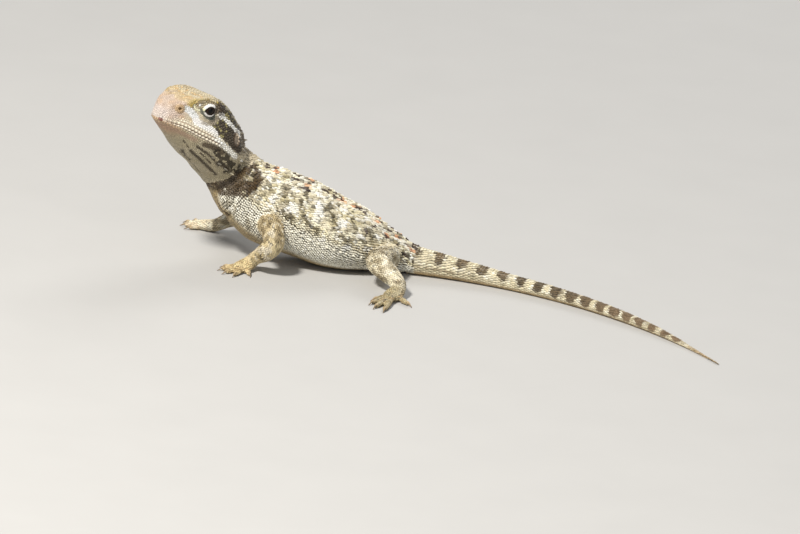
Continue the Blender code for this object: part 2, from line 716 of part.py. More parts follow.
def make_limb(names, keys, side, digits, thickness, neighbours):
    """Upper part, lower part and foot of one limb. `side` is 1 where +Y is away from the body's middle."""
    upper_name, lower_name, foot_name = names
    at_elbow = 0.5 * GAP / path_step(keys, ELBOW)
    at_wrist = 0.5 * GAP / path_step(keys, WRIST)
    upper = loft(upper_name, limb_rings(keys, 0.0, ELBOW - at_elbow))
    cut_round(upper, *neighbours)
    lower = loft(lower_name, limb_rings(keys, ELBOW + at_elbow, WRIST - at_wrist))
    foot = make_foot(foot_name, keys, side, digits, thickness)
    cut_round(lower, upper)
    cut_round(foot, lower)
    return [upper, lower, foot]


def material(name, colour, roughness):
    made = bpy.data.materials.new(name)
    made.use_nodes = True
    shader = made.node_tree.nodes["Principled BSDF"]
    shader.inputs["Base Color"].default_value = (*colour, 1.0)
    shader.inputs["Roughness"].default_value = roughness
    shader.inputs["Metallic"].default_value = 0.0
    return made


def dress(obj, made):
    obj.data.materials.clear()
    obj.data.materials.append(made)
    obj.data.shade_smooth()
    obj.data.set_sharp_from_angle(angle=math.radians(50))


def stand_on_origin(objects, root):
    """Moves the whole model so that the bottom centre of its box is the origin."""
    bpy.context.view_layer.update()
    corners = np.array([obj.matrix_world @ v.co for obj in objects for v in obj.data.vertices])
    low, high = corners.min(axis=0), corners.max(axis=0)
    root.location = -Vector(((low[0] + high[0]) / 2, (low[1] + high[1]) / 2, low[2]))


def main():
    for old in list(bpy.data.objects):
        bpy.data.objects.remove(old, do_unlink=True)
    skin = material("skin", SKIN, 0.75)
    belly = material("belly_skin", BELLY_SKIN, 0.75)
    foot_skin = material("foot_skin", FOOT_SKIN, 0.7)
    black = material("eye", EYE_BLACK, 0.08)

    neck = make_trunk_piece("neck", None, NECK_ENDS_AT - 0.5 * GAP)
    torso = make_trunk_piece("torso", NECK_ENDS_AT + 0.5 * GAP, TRUNK[-1][0][0])
    head = make_head_form()
    crest = head_spines()
    combine(neck, nape_spines(), "UNION")
    cut_round(neck, head, *crest)
    make_head(head, crest)
    fringe = flank_spines()
    body = [torso, *fringe]
    arm, leg = ("upper_arm", "forearm", "hand"), ("thigh", "shank", "foot")
    limbs = []
    for names, end, keys, side, digits, thickness in (
        (arm, "_left", ARM_LEFT, -1, HAND_DIGITS, DIGIT_RADIUS),
        (arm, "_right", ARM_RIGHT, 1, HAND_DIGITS, DIGIT_RADIUS),
        (leg, "_left", LEG_LEFT, -1, FOOT_DIGITS, DIGIT_RADIUS * 1.05),
        (leg, "_right", LEG_RIGHT, 1, FOOT_DIGITS, DIGIT_RADIUS * 1.05),
    ):
        limbs += make_limb([name + end for name in names], keys, side, digits, thickness, body)
    tail = make_tail()
    cut_round(tail[0], torso)
    combine(torso, fringe, "UNION")
    eyes = make_eyes()

    for obj in [head, neck, *tail]:
        dress(obj, skin)
    dress(torso, belly)
    for obj in limbs:
        dress(obj, foot_skin if "hand" in obj.name or "foot" in obj.name else skin)
    for obj in eyes:
        dress(obj, black)

    parts = bpy.data.collections.new("rankins_dragon")
    bpy.context.scene.collection.children.link(parts)
    root = bpy.data.objects.new("dragon_origin", None)
    parts.objects.link(root)
    objects = [head, neck, torso, *tail, *limbs, *eyes]
    for obj in objects:
        bpy.context.scene.collection.objects.unlink(obj)
        parts.objects.link(obj)
        obj.parent = root
    stand_on_origin(objects, root)


main()
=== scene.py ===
"""Looks of the rankins dragon: one skin, its scales, lids, eyes and claws, on a pale floor.

Shapes are made in millimetres in the design frame of the part, then set in the row frame in metres.
"""

import itertools
import json
import math

import bpy
import numpy as np
from mathutils import Matrix, Vector
from mathutils.bvhtree import BVHTree
from mathutils.kdtree import KDTree

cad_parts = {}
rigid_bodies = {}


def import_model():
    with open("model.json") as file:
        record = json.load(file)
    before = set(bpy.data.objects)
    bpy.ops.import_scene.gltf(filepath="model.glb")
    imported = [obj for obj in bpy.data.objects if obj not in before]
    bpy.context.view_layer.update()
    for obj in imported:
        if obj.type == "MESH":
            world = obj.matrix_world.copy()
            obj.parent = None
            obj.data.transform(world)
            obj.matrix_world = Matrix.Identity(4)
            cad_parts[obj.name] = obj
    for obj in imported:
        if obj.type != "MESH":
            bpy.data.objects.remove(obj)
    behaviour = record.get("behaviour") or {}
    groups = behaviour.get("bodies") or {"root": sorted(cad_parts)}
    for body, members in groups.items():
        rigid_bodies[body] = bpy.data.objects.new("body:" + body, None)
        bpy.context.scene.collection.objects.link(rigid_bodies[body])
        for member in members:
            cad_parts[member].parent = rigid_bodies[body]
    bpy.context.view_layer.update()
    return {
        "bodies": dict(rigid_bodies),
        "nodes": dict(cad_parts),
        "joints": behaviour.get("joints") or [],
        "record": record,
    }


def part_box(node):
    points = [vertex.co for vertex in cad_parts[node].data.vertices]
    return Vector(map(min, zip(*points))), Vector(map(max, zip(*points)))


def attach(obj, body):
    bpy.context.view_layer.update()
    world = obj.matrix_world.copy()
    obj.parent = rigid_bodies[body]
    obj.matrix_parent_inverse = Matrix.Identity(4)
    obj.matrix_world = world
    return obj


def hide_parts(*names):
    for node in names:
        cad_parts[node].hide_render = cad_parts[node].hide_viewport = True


MM = 0.001
SEED = 11
VOXEL = 0.2
CROWN_SINK = 0.22  # how far the highest skin is lowered, so that its scales keep inside the box
INSET = 0.1  # how far the skin lies inside the solids, to leave room for the scales
BARE_BELOW = 0.12  # no scale grows on skin lower than this, which rests on the ground
DEGREES_PER_MM = 5.7  # degrees round the trunk to one millimetre of its girth
UPWARD = (0.0, 0.0, 1.0)
SIDES = (1, -1)  # the animal's left and right

# The head's own frame: back from the snout tip, out to the side, up from the mouth's tip
SNOUT_TIP = (-45.7, -11.5, 36.3)
HEAD_YAW = 35.0
HEAD_PITCH = 20.0
HEAD_STATIONS = (0, 0.5, 1.3, 2.6, 4.2, 6, 8, 10.2, 12.6, 15.2, 17.8, 20.4, 22.8, 25, 26.6)
CROWN = (
    (0, 1.2), (0.3, 2.6), (0.6, 3.6), (1.2, 4.5), (3, 6.0), (4.5, 6.9),
    (8, 8.1), (11, 8.8), (14, 8.9), (16, 8.5), (18.7, 7.4), (22.6, 5.0),
    (26.6, 2.4),
)
THROAT = (
    (0, -0.9), (0.7, -1.5), (2.4, -2.5), (5.3, -4.2), (8.4, -6.1), (11.1, -7.5),
    (15.6, -8.9), (19.7, -11.1), (24, -12.6), (26.6, -13.0),
)
MOUTH = (
    (0, -0.1), (1, -0.25), (5, 0.1), (10, -0.4), (15.4, -0.9), (18, -1.6),
    (26.6, -3.2),
)
BROW_WIDTH = (
    (0, 1.2), (0.6, 2.4), (2, 3.9), (4, 5.6), (6, 6.4), (8, 6.8),
    (10, 6.9), (12, 6.6), (14.5, 5.8), (19, 5.4), (23, 4.6), (26.6, 3.7),
)
BROW_DROP = (
    (0, 0.3), (2, 0.6), (3.4, 0.0), (5, -0.7), (8, -1.05), (11, -1.05),
    (13.2, 0.6), (19, 1.9), (26.6, 2.2),
)
CHEEK_WIDTH = (
    (0, 1.3), (1, 2.8), (3, 4.3), (6, 5.4), (10, 6.7), (15, 8.2),
    (19, 8.6), (22.5, 8.0), (26.6, 6.0),
)
LIP_WIDTH = (
    (0, 1.2), (1, 2.8), (3, 4.5), (6, 5.9), (10, 7.3), (15, 8.6),
    (19, 8.8), (22.5, 8.3), (26.6, 6.2),
)
JAW_WIDTH = (
    (0, 0.9), (1, 2.1), (3, 3.2), (6, 4.5), (10, 5.9), (15, 7.4),
    (20, 8.2), (22.5, 8.0), (26.6, 6.2),
)
MOUTH_END = 16.0
LIP_HEIGHT = 1.0
LIP_GROOVE = 0.6
CAD_EYE = (10.3, 4.7, 5.9)
EYE_AT = (10.15, 5.0, 5.82)
EYE_RADIUS = 2.05
EYE_LOOK = (-0.06, 0.998, 0.02)
EYE_ARC_RADIUS = 2.2  # arc lengths on the eye are measured at this distance from its centre
NOSTRIL_AT = (3.1, 4.4, 3.75)
NOSTRIL_RISE = 0.22
NOSTRIL_RIM = 1.15
NOSTRIL_PIT = 0.75
NOSTRIL_HOLE = 0.33
EAR_AT = (20.2, 8.6, 1.5)

# Backbone: centre, half width, height above the centre, depth below it
TRUNK = (
    ((-33.0, -3.0, 27.4), 5.2, 5.0, 5.0),
    ((-26.7, 0.0, 20.7), 6.4, 6.7, 6.5),
    ((-22.0, 0.0, 16.3), 7.6, 8.0, 8.0),
    ((-16.0, 0.0, 13.0), 8.9, 9.4, 9.4),
    ((-7.6, 0.0, 10.7), 10.3, 9.0, 9.2),
    ((-0.4, 0.0, 8.3), 10.7, 8.1, 8.4),
    ((4.8, 0.0, 6.7), 9.5, 7.7, 7.2),
    ((11.4, 0.0, 4.7), 6.8, 6.1, 4.8),
    ((18.3, 0.0, 3.0), 3.8, 4.0, 3.1),
)
TRUNK_SQUARE = 2.3
TAIL_LENGTH = 95.0
TAIL_HEADINGS = ((0, 4), (0.12, 11), (0.5, 34), (1, 58))
TAIL_RADII = (
    (0, 3.1), (0.06, 2.95), (0.16, 2.45), (0.27, 1.9), (0.38, 1.68), (0.5, 1.5),
    (0.61, 1.3), (0.71, 1.05), (0.81, 0.72), (0.87, 0.46), (0.93, 0.32), (1, 0.26),
)
TAIL_CREST = ((0, 1.29), (0.07, 1.06), (0.15, 1.0), (1, 1.0))
FLAT_SINK = 0.12

# Limbs: path points with half width and half height, from inside the trunk to the palm's end
ARM_LEFT = (
    ((-16.0, -4.0, 11.4), 2.8, 2.8),
    ((-15.7, -8.0, 11.1), 2.9, 2.9),
    ((-14.4, -12.4, 9.9), 2.6, 2.6),
    ((-13.9, -15.0, 8.2), 2.4, 2.4),
    ((-15.6, -13.8, 5.5), 2.2, 2.2),
    ((-17.8, -11.8, 3.3), 1.7, 1.6),
    ((-19.3, -11.8, 1.8), 2.0, 1.5),
    ((-20.9, -13.4, 1.1), 2.4, 1.25),
    ((-21.9, -14.7, 0.9), 1.8, 0.95),
)
ARM_RIGHT = (
    ((-16.4, 4.0, 13.2), 3.3, 3.3),
    ((-16.8, 8.6, 12.6), 3.2, 3.1),
    ((-18.2, 13.0, 10.2), 2.5, 2.5),
    ((-20.4, 15.2, 7.6), 2.3, 2.3),
    ((-23.6, 15.4, 5.0), 2.2, 2.2),
    ((-26.8, 15.4, 3.0), 1.7, 1.6),
    ((-28.9, 16.4, 1.7), 2.0, 1.5),
    ((-31.1, 17.9, 1.15), 2.4, 1.25),
    ((-32.6, 19.1, 0.9), 1.8, 0.95),
)
LEG_LEFT = (
    ((13.4, -2.2, 4.6), 3.2, 3.2),
    ((13.2, -6.2, 4.9), 3.4, 3.1),
    ((12.0, -10.8, 5.7), 3.1, 3.0),
    ((11.6, -14.4, 5.8), 2.7, 2.6),
    ((14.2, -17.2, 4.5), 2.4, 2.3),
    ((16.9, -19.6, 2.8), 1.8, 1.7),
    ((16.8, -21.6, 1.7), 2.0, 1.5),
    ((15.9, -23.9, 1.1), 2.4, 1.2),
    ((15.4, -25.6, 0.9), 1.8, 0.95),
)
LEG_RIGHT = (
    ((13.0, 2.2, 4.2), 3.1, 2.9),
    ((12.2, 6.0, 4.1), 3.2, 2.8),
    ((10.4, 10.2, 3.7), 2.9, 2.5),
    ((9.4, 13.4, 3.2), 2.5, 2.3),
    ((11.2, 16.2, 2.8), 2.2, 2.0),
    ((13.2, 18.8, 2.2), 1.7, 1.6),
    ((12.6, 20.8, 1.5), 2.0, 1.4),
    ((10.9, 22.6, 1.1), 2.4, 1.2),
    ((9.8, 23.9, 0.9), 1.8, 0.95),
)
# Digits: degrees from straight ahead towards the flank, and reach from the palm's middle
HAND_DIGITS = ((-50, 4.8), (-26, 5.8), (-3, 6.3), (21, 6.3), (58, 4.6))
FOOT_DIGITS = ((-34, 5.8), (-19, 8.4), (-5, 10.4), (9, 11.6), (56, 6.2))
LIMBS = (
    (ARM_LEFT, -1, HAND_DIGITS, 0.74),
    (ARM_RIGHT, 1, HAND_DIGITS, 0.74),
    (LEG_LEFT, -1, FOOT_DIGITS, 0.777),
    (LEG_RIGHT, 1, FOOT_DIGITS, 0.777),
)
KNUCKLES = ((0, 1.1), (0.3, 1.18), (0.46, 0.92), (0.62, 1.05), (0.8, 0.84), (1, 0.72))
DIGIT_HEIGHTS = ((0, 1.0), (0.28, 1.15), (0.5, 0.74), (1, 0.5))
CLAW_LENGTH = 1.3
CLAW_RADIUS = 0.36

PART_COUNT = 7
HEAD, BODY, TAIL, ARM_L, ARM_R, LEG_L, LEG_R = range(PART_COUNT)
LIMB_PARTS = (ARM_L, ARM_R, LEG_L, LEG_R)
PALM_START = 8  # station of a limb where its digits begin to count

# Display colours, 0 to 255
CREAM = (230, 221, 194)
WHITE = (243, 240, 230)
GREY_BROWN = (146, 134, 108)
DARK = (58, 48, 36)
ORANGE = (220, 172, 130)
TAN = (208, 168, 122)
PINK_TAN = (202, 182, 164)
YELLOW = (212, 194, 148)
BELLY = (178, 158, 118)
FOOT_TAN = (230, 208, 160)


def tone(red, green, blue):
    """Linear colour from display values 0 to 255."""
    c = np.array((red, green, blue), float) / 255
    return np.where(c <= 0.04045, c / 12.92, ((c + 0.055) / 1.055) ** 2.4)


def through(keys, at):
    """Smooth value at `at` through rows of (place, value), with no overshoot between them."""
    x = np.array([k[0] for k in keys], float)
    y = np.array([np.atleast_1d(k[1]) for k in keys], float)
    slope = np.diff(y, axis=0) / np.diff(x)[:, None]
    tangent = np.zeros_like(y)
    tangent[0], tangent[-1] = slope[0], slope[-1]
    same_way = slope[:-1] * slope[1:] > 0
    total = np.where(same_way, slope[:-1] + slope[1:], 1.0)
    tangent[1:-1] = np.where(same_way, 2 * slope[:-1] * slope[1:] / total, 0.0)
    at = np.clip(np.atleast_1d(np.asarray(at, float)), x[0], x[-1])
    i = np.clip(np.searchsorted(x, at, side="right") - 1, 0, len(x) - 2)
    h = (x[i + 1] - x[i])[:, None]
    t = (at - x[i])[:, None] / h
    return (
        (1 + 2 * t) * (1 - t) ** 2 * y[i]
        + t * (1 - t) ** 2 * h * tangent[i]
        + t * t * (3 - 2 * t) * y[i + 1]
        - t * t * (1 - t) * h * tangent[i + 1]
    )


def value(keys, at):
    return float(through(keys, at)[0, 0])


def curve_through(points, at):
    """Points of a Catmull-Rom curve at path positions 0, 1, 2 and so on, or between them."""
    points = np.array(points, float)
    ends = np.vstack([2 * points[0] - points[1], points, 2 * points[-1] - points[-2]])
    at = np.clip(np.atleast_1d(np.asarray(at, float)), 0, len(points) - 1)
    i = np.minimum(at.astype(int), len(points) - 2)
    t = (at - i)[:, None]
    a, b, c, d = ends[i], ends[i + 1], ends[i + 2], ends[i + 3]
    squared = (2 * a - 5 * b + 4 * c - d) * t**2
    return 0.5 * (2 * b + (c - a) * t + squared + (3 * b - a - 3 * c + d) * t**3)


def unit(vectors):
    vectors = np.asarray(vectors, float)
    return vectors / np.maximum(np.linalg.norm(vectors, axis=-1, keepdims=True), 1e-12)


def ramp(low, high, x):
    """0 at `low` and before it, 1 at `high` and beyond, with soft ends."""
    t = np.clip((np.asarray(x, float) - low) / (high - low), 0, 1)
    return t * t * (3 - 2 * t)


def bell(away, width):
    return np.exp(-((away / width) ** 2))


def oval(count, square):
    angles = 2 * np.pi * (np.arange(count) + 0.5) / count
    side, up = np.cos(angles), np.sin(angles)
    power = 2.0 / square
    return np.stack([np.sign(side) * abs(side) ** power, np.sign(up) * abs(up) ** power], axis=1)


def noise(points, size, seed):
    """Smooth noise from 0 to 1 with cells of `size` millimetres."""
    q = np.asarray(points, float) / size + 500.0
    cell = np.floor(q).astype(np.int64)
    f = q - cell
    f = f * f * (3 - 2 * f)
    total = np.zeros(len(q))
    for corner in range(8):
        step = np.array((corner & 1, corner >> 1 & 1, corner >> 2 & 1))
        c = cell + step
        h = (c[:, 0] * 73856093) ^ (c[:, 1] * 19349663) ^ (c[:, 2] * 83492791)
        h = h ^ (seed * 2654435761)
        h = ((h ^ (h >> 13)) * 1274126177) & 0x7FFFFFFF
        h = ((h ^ (h >> 11)) * 668265263) & 0x7FFFFFFF
        weight = np.prod(np.where(step, f, 1 - f), axis=1)
        total += weight * (h >> 8) / (0x7FFFFFFF >> 8)
    return total


# ---- forms of the body


def head_axes():
    yaw, pitch = math.radians(HEAD_YAW), math.radians(HEAD_PITCH)
    c, s = math.cos(pitch), math.sin(pitch)
    back = np.array((c * math.cos(yaw), c * math.sin(yaw), -s))
    left = np.array((math.sin(yaw), -math.cos(yaw), 0.0))
    up = np.array((s * math.cos(yaw), s * math.sin(yaw), c))
    return back, left, up


AXES = head_axes()


def head_point(back, out, up):
    return np.array(SNOUT_TIP) + back * AXES[0] + out * AXES[1] + up * AXES[2]


def mirrored(place, side):
    """A place on the head's left, as it is or on its right."""
    return place[0], place[1] * side, place[2]


def head_local(points):
    """Back, out and up of points, in millimetres."""
    return (np.asarray(points) - SNOUT_TIP) @ np.array(AXES).T


def head_half_section(back):
    crown, throat, mouth = (value(keys, back) for keys in (CROWN, THROAT, MOUTH))
    brow_out, brow_up = value(BROW_WIDTH, back), crown - value(BROW_DROP, back)
    cheek, lip, jaw = (value(keys, back) for keys in (CHEEK_WIDTH, LIP_WIDTH, JAW_WIDTH))
    upper = brow_up - mouth
    lower = mouth - throat
    lip_height = min(LIP_HEIGHT, 0.3 * upper, 0.3 * lower)
    groove = LIP_GROOVE * min(1.0, max(0.0, (MOUTH_END - back) / 1.5)) * min(1.0, 0.4 + back)
    return [
        (0.0, crown),
        (0.55 * brow_out, crown - 0.1),
        (brow_out, brow_up),
        (0.55 * brow_out + 0.45 * cheek, brow_up - 0.3 * upper),
        (cheek, mouth + 0.42 * upper),
        (lip, mouth + lip_height),
        (lip - groove, mouth),
        (lip - 0.1, mouth - lip_height),
        (jaw, mouth - 0.45 * lower),
        (0.62 * jaw, mouth - 0.84 * lower),
        (0.0, throat),
    ]


def head_ring(back):
    half = head_half_section(back)
    both = half + [(-out, up) for out, up in reversed(half[1:-1])]
    return np.array([head_point(back, out, up) for out, up in both])


def floored(rings):
    rings = np.array(rings)
    rings[..., 2] = np.maximum(rings[..., 2], 0.0)
    return rings


def trunk_frames(at):
    places = [row[0] for row in TRUNK]
    at = np.atleast_1d(np.asarray(at, float))
    centres = curve_through(places, at)
    tangents = unit(curve_through(places, at + 0.02) - curve_through(places, at - 0.02))
    sides = unit(np.cross(UPWARD, tangents))
    return centres, tangents, sides, through([(i, row[1:]) for i, row in enumerate(TRUNK)], at)


def section(centres, sides, lifts, widths, ups, downs, outline):
    """Rings of points round centres, from an outline of (side, up) in half widths and heights."""
    height = np.where(outline[None, :, 1] > 0, ups[:, None], downs[:, None]) * outline[None, :, 1]
    return (
        centres[:, None]
        + (widths[:, None] * outline[None, :, 0])[..., None] * sides[:, None]
        + height[..., None] * lifts[:, None]
    )


def trunk_rings(at, outline):
    centres, tangents, sides, sizes = trunk_frames(at)
    lifts = np.cross(tangents, sides)
    return floored(section(centres, sides, lifts, sizes[:, 0], sizes[:, 1], sizes[:, 2], outline))


def tail_frames(shares):
    dense = np.linspace(0, 1, 801)
    headings = np.radians(through(TAIL_HEADINGS, dense)[:, 0])
    step = TAIL_LENGTH / (len(dense) - 1)
    root = TRUNK[-1][0]
    x = root[0] + np.concatenate([[0], np.cumsum(np.cos(headings[:-1]))]) * step
    y = root[1] - np.concatenate([[0], np.cumsum(np.sin(headings[:-1]))]) * step
    radii = through(TAIL_RADII, shares)[:, 0]
    heights = radii - FLAT_SINK * radii / TAIL_RADII[0][1]
    centres = np.stack([np.interp(shares, dense, x), np.interp(shares, dense, y), heights], axis=1)
    turn = np.interp(shares, dense, headings)
    tangents = np.stack([np.cos(turn), -np.sin(turn), np.zeros_like(turn)], axis=1)
    return centres, tangents, np.cross(UPWARD, tangents), radii


def tail_rings(shares, outline):
    centres, _, sides, radii = tail_frames(shares)
    widths = radii * (1.0 + 0.2 * np.exp(-shares / 0.04))
    crests = radii * through(TAIL_CREST, shares)[:, 0]
    lifts = np.broadcast_to(UPWARD, sides.shape)
    return floored(section(centres, sides, lifts, widths, crests, radii, outline))


def limb_frames(keys, at):
    """Centres, tangents, sides and sizes along a limb, with its width level at the palm or sole."""
    places = [row[0] for row in keys]
    whole = np.linspace(0, len(keys) - 1, 40 * (len(keys) - 1) + 1)
    ahead = curve_through(places, np.minimum(whole + 0.02, len(keys) - 1))
    behind = curve_through(places, np.maximum(whole - 0.02, 0))
    tangents = unit(ahead - behind)
    sides = np.zeros_like(tangents)
    sides[-1] = unit(np.cross(UPWARD, tangents[-1]))
    for i in range(len(whole) - 2, -1, -1):
        sides[i] = unit(sides[i + 1] - tangents[i] * (sides[i + 1] @ tangents[i]))
    at = np.atleast_1d(np.asarray(at, float))
    tangent = unit(np.stack([np.interp(at, whole, tangents[:, k]) for k in range(3)], axis=1))
    side = np.stack([np.interp(at, whole, sides[:, k]) for k in range(3)], axis=1)
    side = unit(side - tangent * np.sum(side * tangent, axis=1, keepdims=True))
    sizes = through([(i, row[1:]) for i, row in enumerate(keys)], at)
    return curve_through(places, at), tangent, side, sizes


def limb_rings(keys, at, outline):
    centres, tangents, sides, sizes = limb_frames(keys, at)
    lifts = np.cross(tangents, sides)
    return floored(section(centres, sides, lifts, sizes[:, 0], sizes[:, 1], sizes[:, 1], outline))


def palm_middle(keys):
    return curve_through([row[0] for row in keys], [len(keys) - 2.4])[0]


def palm_heading(keys):
    ends = curve_through([row[0] for row in keys], [len(keys) - 3.0, len(keys) - 1.0])
    return math.atan2(ends[1][1] - ends[0][1], -(ends[1][0] - ends[0][0]))


def digits_of(limb):
    """Middle of the palm, forward direction, reach and radius of each digit of a limb."""
    keys, side, digits, thickness = limb
    middle, heading = palm_middle(keys), palm_heading(keys)
    for k, (turn, reach) in enumerate(digits):
        aim = heading + math.radians(turn) * side
        forward = np.array((-math.cos(aim), math.sin(aim), 0.0))
        yield middle, forward, reach, thickness * (0.9 if k in (0, 4) else 1.0)


def digit_rings(middle, forward, reach, radius, at, outline):
    heights = through(DIGIT_HEIGHTS, at)[:, 0]
    centres = np.array((middle[0], middle[1], 0.0)) + np.outer(reach * at, forward)
    centres[:, 2] = heights
    radii = radius * through(KNUCKLES, at)[:, 0]
    rounding = np.clip(1 - ((at - 0.9) / 0.13) ** 2, 0.1, 1)
    radii = radii * np.sqrt(rounding * (at > 0.9) + (at <= 0.9))
    side = np.broadcast_to(np.cross(UPWARD, forward), centres.shape)
    lift = np.broadcast_to(UPWARD, centres.shape)
    return floored(section(centres, side, lift, radii, radii, radii, outline))


# ---- meshes


def ring_faces(count, sides, start=0):
    faces = [
        (start + r * sides + k, start + r * sides + (k + 1) % sides,
         start + (r + 1) * sides + (k + 1) % sides, start + (r + 1) * sides + k)
        for r in range(count - 1)
        for k in range(sides)
    ]
    faces.append(tuple(start + k for k in reversed(range(sides))))
    faces.append(tuple(start + (count - 1) * sides + k for k in range(sides)))
    return faces


def link(mesh, name):
    obj = bpy.data.objects.new(name, mesh)
    bpy.context.scene.collection.objects.link(obj)
    return obj


def joined(parts):
    """Points and faces of several closed lofts as one mesh."""
    points, faces = [], []
    for rings in parts:
        faces += ring_faces(len(rings), len(rings[0]), sum(len(p) for p in points))
        points.append(np.concatenate(rings))
    return np.concatenate(points), faces


def raw_object(name, points, faces):
    """An object in millimetres, to be worked on by modifiers."""
    mesh = bpy.data.meshes.new(name)
    mesh.from_pydata(points.tolist(), [], faces)
    return link(mesh, name)


def evaluated_mesh(obj):
    graph = bpy.context.evaluated_depsgraph_get()
    mesh = bpy.data.meshes.new_from_object(obj.evaluated_get(graph))
    bpy.data.objects.remove(obj, do_unlink=True)
    return mesh


def points_of(mesh):
    flat = np.zeros(len(mesh.vertices) * 3, np.float32)
    mesh.vertices.foreach_get("co", flat)
    return flat.reshape(-1, 3).astype(float)


def head_form():
    """The head's smooth closed form."""
    rings = np.array([head_ring(place) for place in HEAD_STATIONS])
    obj = raw_object("head_form", *joined([rings]))
    smooth = obj.modifiers.new("smooth", "SUBSURF")
    smooth.levels = smooth.render_levels = 2
    return evaluated_mesh(obj)


def skin_mesh():
    """All flesh as one closed mesh of small even faces: points in millimetres, and quads."""
    parts = [
        trunk_rings(np.linspace(0, len(TRUNK) - 1, 150), oval(96, TRUNK_SQUARE)),
        tail_rings(np.linspace(0, 1, 220), oval(32, 2.0)),
    ]
    for limb in LIMBS:
        parts.append(limb_rings(limb[0], np.linspace(0, len(limb[0]) - 1, 90), oval(36, 2.0)))
        for digit in digits_of(limb):
            parts.append(digit_rings(*digit, np.linspace(0.05, 1.02, 40), oval(20, 2.0)))
    points, faces = joined(parts)
    head = head_form()
    faces += [tuple(v + len(points) for v in f.vertices) for f in head.polygons]
    obj = raw_object("forms", np.concatenate([points, points_of(head)]), faces)
    remesh = obj.modifiers.new("remesh", "REMESH")
    remesh.mode = "VOXEL"
    remesh.voxel_size = VOXEL
    made = evaluated_mesh(obj)
    quads = np.zeros(len(made.polygons) * 4, np.int32)
    made.polygons.foreach_get("vertices", quads)
    return points_of(made), quads.reshape(-1, 4)


def mean_of_neighbours(values, ends, degree):
    total = np.zeros_like(values)
    for k in range(values.shape[1]):
        total[:, k] = np.bincount(ends[:, 0], values[ends[:, 1], k], len(values))
        total[:, k] += np.bincount(ends[:, 1], values[ends[:, 0], k], len(values))
    return total / degree[:, None]


def edges_of(quads):
    ends = np.concatenate([quads[:, [k, (k + 1) % 4]] for k in range(4)])
    ends = np.unique(np.sort(ends, axis=1), axis=0)
    degree = np.bincount(ends.ravel()).astype(float)
    return ends, np.maximum(degree, 1)


def normals_of(points, quads):
    a, b, c, d = (points[quads[:, k]] for k in range(4))
    face = np.cross(c - a, d - b)
    total = np.zeros_like(points)
    for corner in range(4):
        for k in range(3):
            total[:, k] += np.bincount(quads[:, corner], face[:, k], len(points))
    return unit(total)


# ---- where a point lies on the animal


def place_samples():
    """Rows of centre, radius, part, station, and the section's directions, along every part."""
    rows = []

    def add(centres, radii, part, stations, sides, lifts):
        for c, r, s, side, lift in zip(centres, radii, stations, sides, lifts):
            rows.append((*c, r, part, s, *side, *lift))

    for b in np.linspace(0.5, 26, 36):
        crown, throat = value(CROWN, b), value(THROAT, b)
        width = value(CHEEK_WIDTH, b)
        centre = head_point(b, 0, (crown + throat) / 2)
        rows.append((*centre, 0.5 * (width + (crown - throat) / 2), HEAD, b, *(-AXES[1]), *AXES[2]))
    at = np.linspace(0, len(TRUNK) - 1, 160)
    centres, tangents, sides, sizes = trunk_frames(at)
    add(centres, sizes.mean(axis=1), BODY, centres[:, 0], sides, np.cross(tangents, sides))
    shares = np.linspace(0.0, 1, 240)
    centres, tangents, sides, radii = tail_frames(shares)
    add(centres, radii, TAIL, shares, sides, np.broadcast_to(UPWARD, sides.shape))
    for part, limb in zip(LIMB_PARTS, LIMBS):
        at = np.linspace(0, PALM_START, 70)
        centres, tangents, sides, sizes = limb_frames(limb[0], at)
        add(centres, sizes.mean(axis=1), part, at, sides, np.cross(tangents, sides))
        for middle, forward, reach, radius in digits_of(limb):
            share = np.linspace(0.2, 1, 9)
            centres = np.array((middle[0], middle[1], 0.0)) + np.outer(reach * share, forward)
            centres[:, 2] = 0.8
            side = np.broadcast_to(np.cross(UPWARD, forward), centres.shape)
            lift = np.broadcast_to(UPWARD, centres.shape)
            add(centres, np.full(9, radius), part, PALM_START + 2 * share, side, lift)
    return np.array(rows)


SAMPLES = place_samples()
PLACES_AT_ONCE = 8000


def places(points):
    """Part, station along it and angle round it for each point, and how clearly it is that part's.

    The angle is 0 on top and grows to 180 below, positive on the animal's left.
    """
    part = np.zeros(len(points), int)
    station, angle, margin = (np.zeros(len(points)) for _ in range(3))
    centres, radii, kinds = SAMPLES[:, :3], SAMPLES[:, 3], SAMPLES[:, 4].astype(int)
    groups = [np.flatnonzero(kinds == kind) for kind in range(PART_COUNT)]
    for start in range(0, len(points), PLACES_AT_ONCE):
        p = points[start : start + PLACES_AT_ONCE]
        squared = (p**2).sum(1)[:, None] + (centres**2).sum(1)[None] - 2 * p @ centres.T
        excess = np.sqrt(np.maximum(squared, 0)) - radii[None]
        best = np.stack([excess[:, group].min(axis=1) for group in groups], axis=1)
        nearest = excess.argmin(axis=1)
        trunk = kinds[nearest] == BODY
        nearest[trunk] = groups[BODY][squared[trunk][:, groups[BODY]].argmin(axis=1)]
        row = SAMPLES[nearest]
        away = p - row[:, :3]
        out = -(away * row[:, 6:9]).sum(1)
        high = (away * row[:, 9:12]).sum(1)
        ordered = np.sort(best, axis=1)
        window = slice(start, start + len(p))
        part[window] = row[:, 4].astype(int)
        station[window] = row[:, 5]
        angle[window] = np.degrees(np.arctan2(out, high))
        margin[window] = ordered[:, 1] - ordered[:, 0]
    return part, station, angle, margin


# ---- eyes


def eye_frame(side):
    """Centre of an eye, and its directions: backwards along the head, outwards, up."""
    out = AXES[1] * side
    look = unit(EYE_LOOK[0] * AXES[0] + EYE_LOOK[1] * out + EYE_LOOK[2] * AXES[2])
    upright = unit(AXES[2] - look * (AXES[2] @ look))
    along = unit(AXES[0] - look * (AXES[0] @ look))
    return head_point(*mirrored(EYE_AT, side)), along, look, upright


LID_TILT = math.radians(13)
LID_CENTRE = (0.0, -0.05)


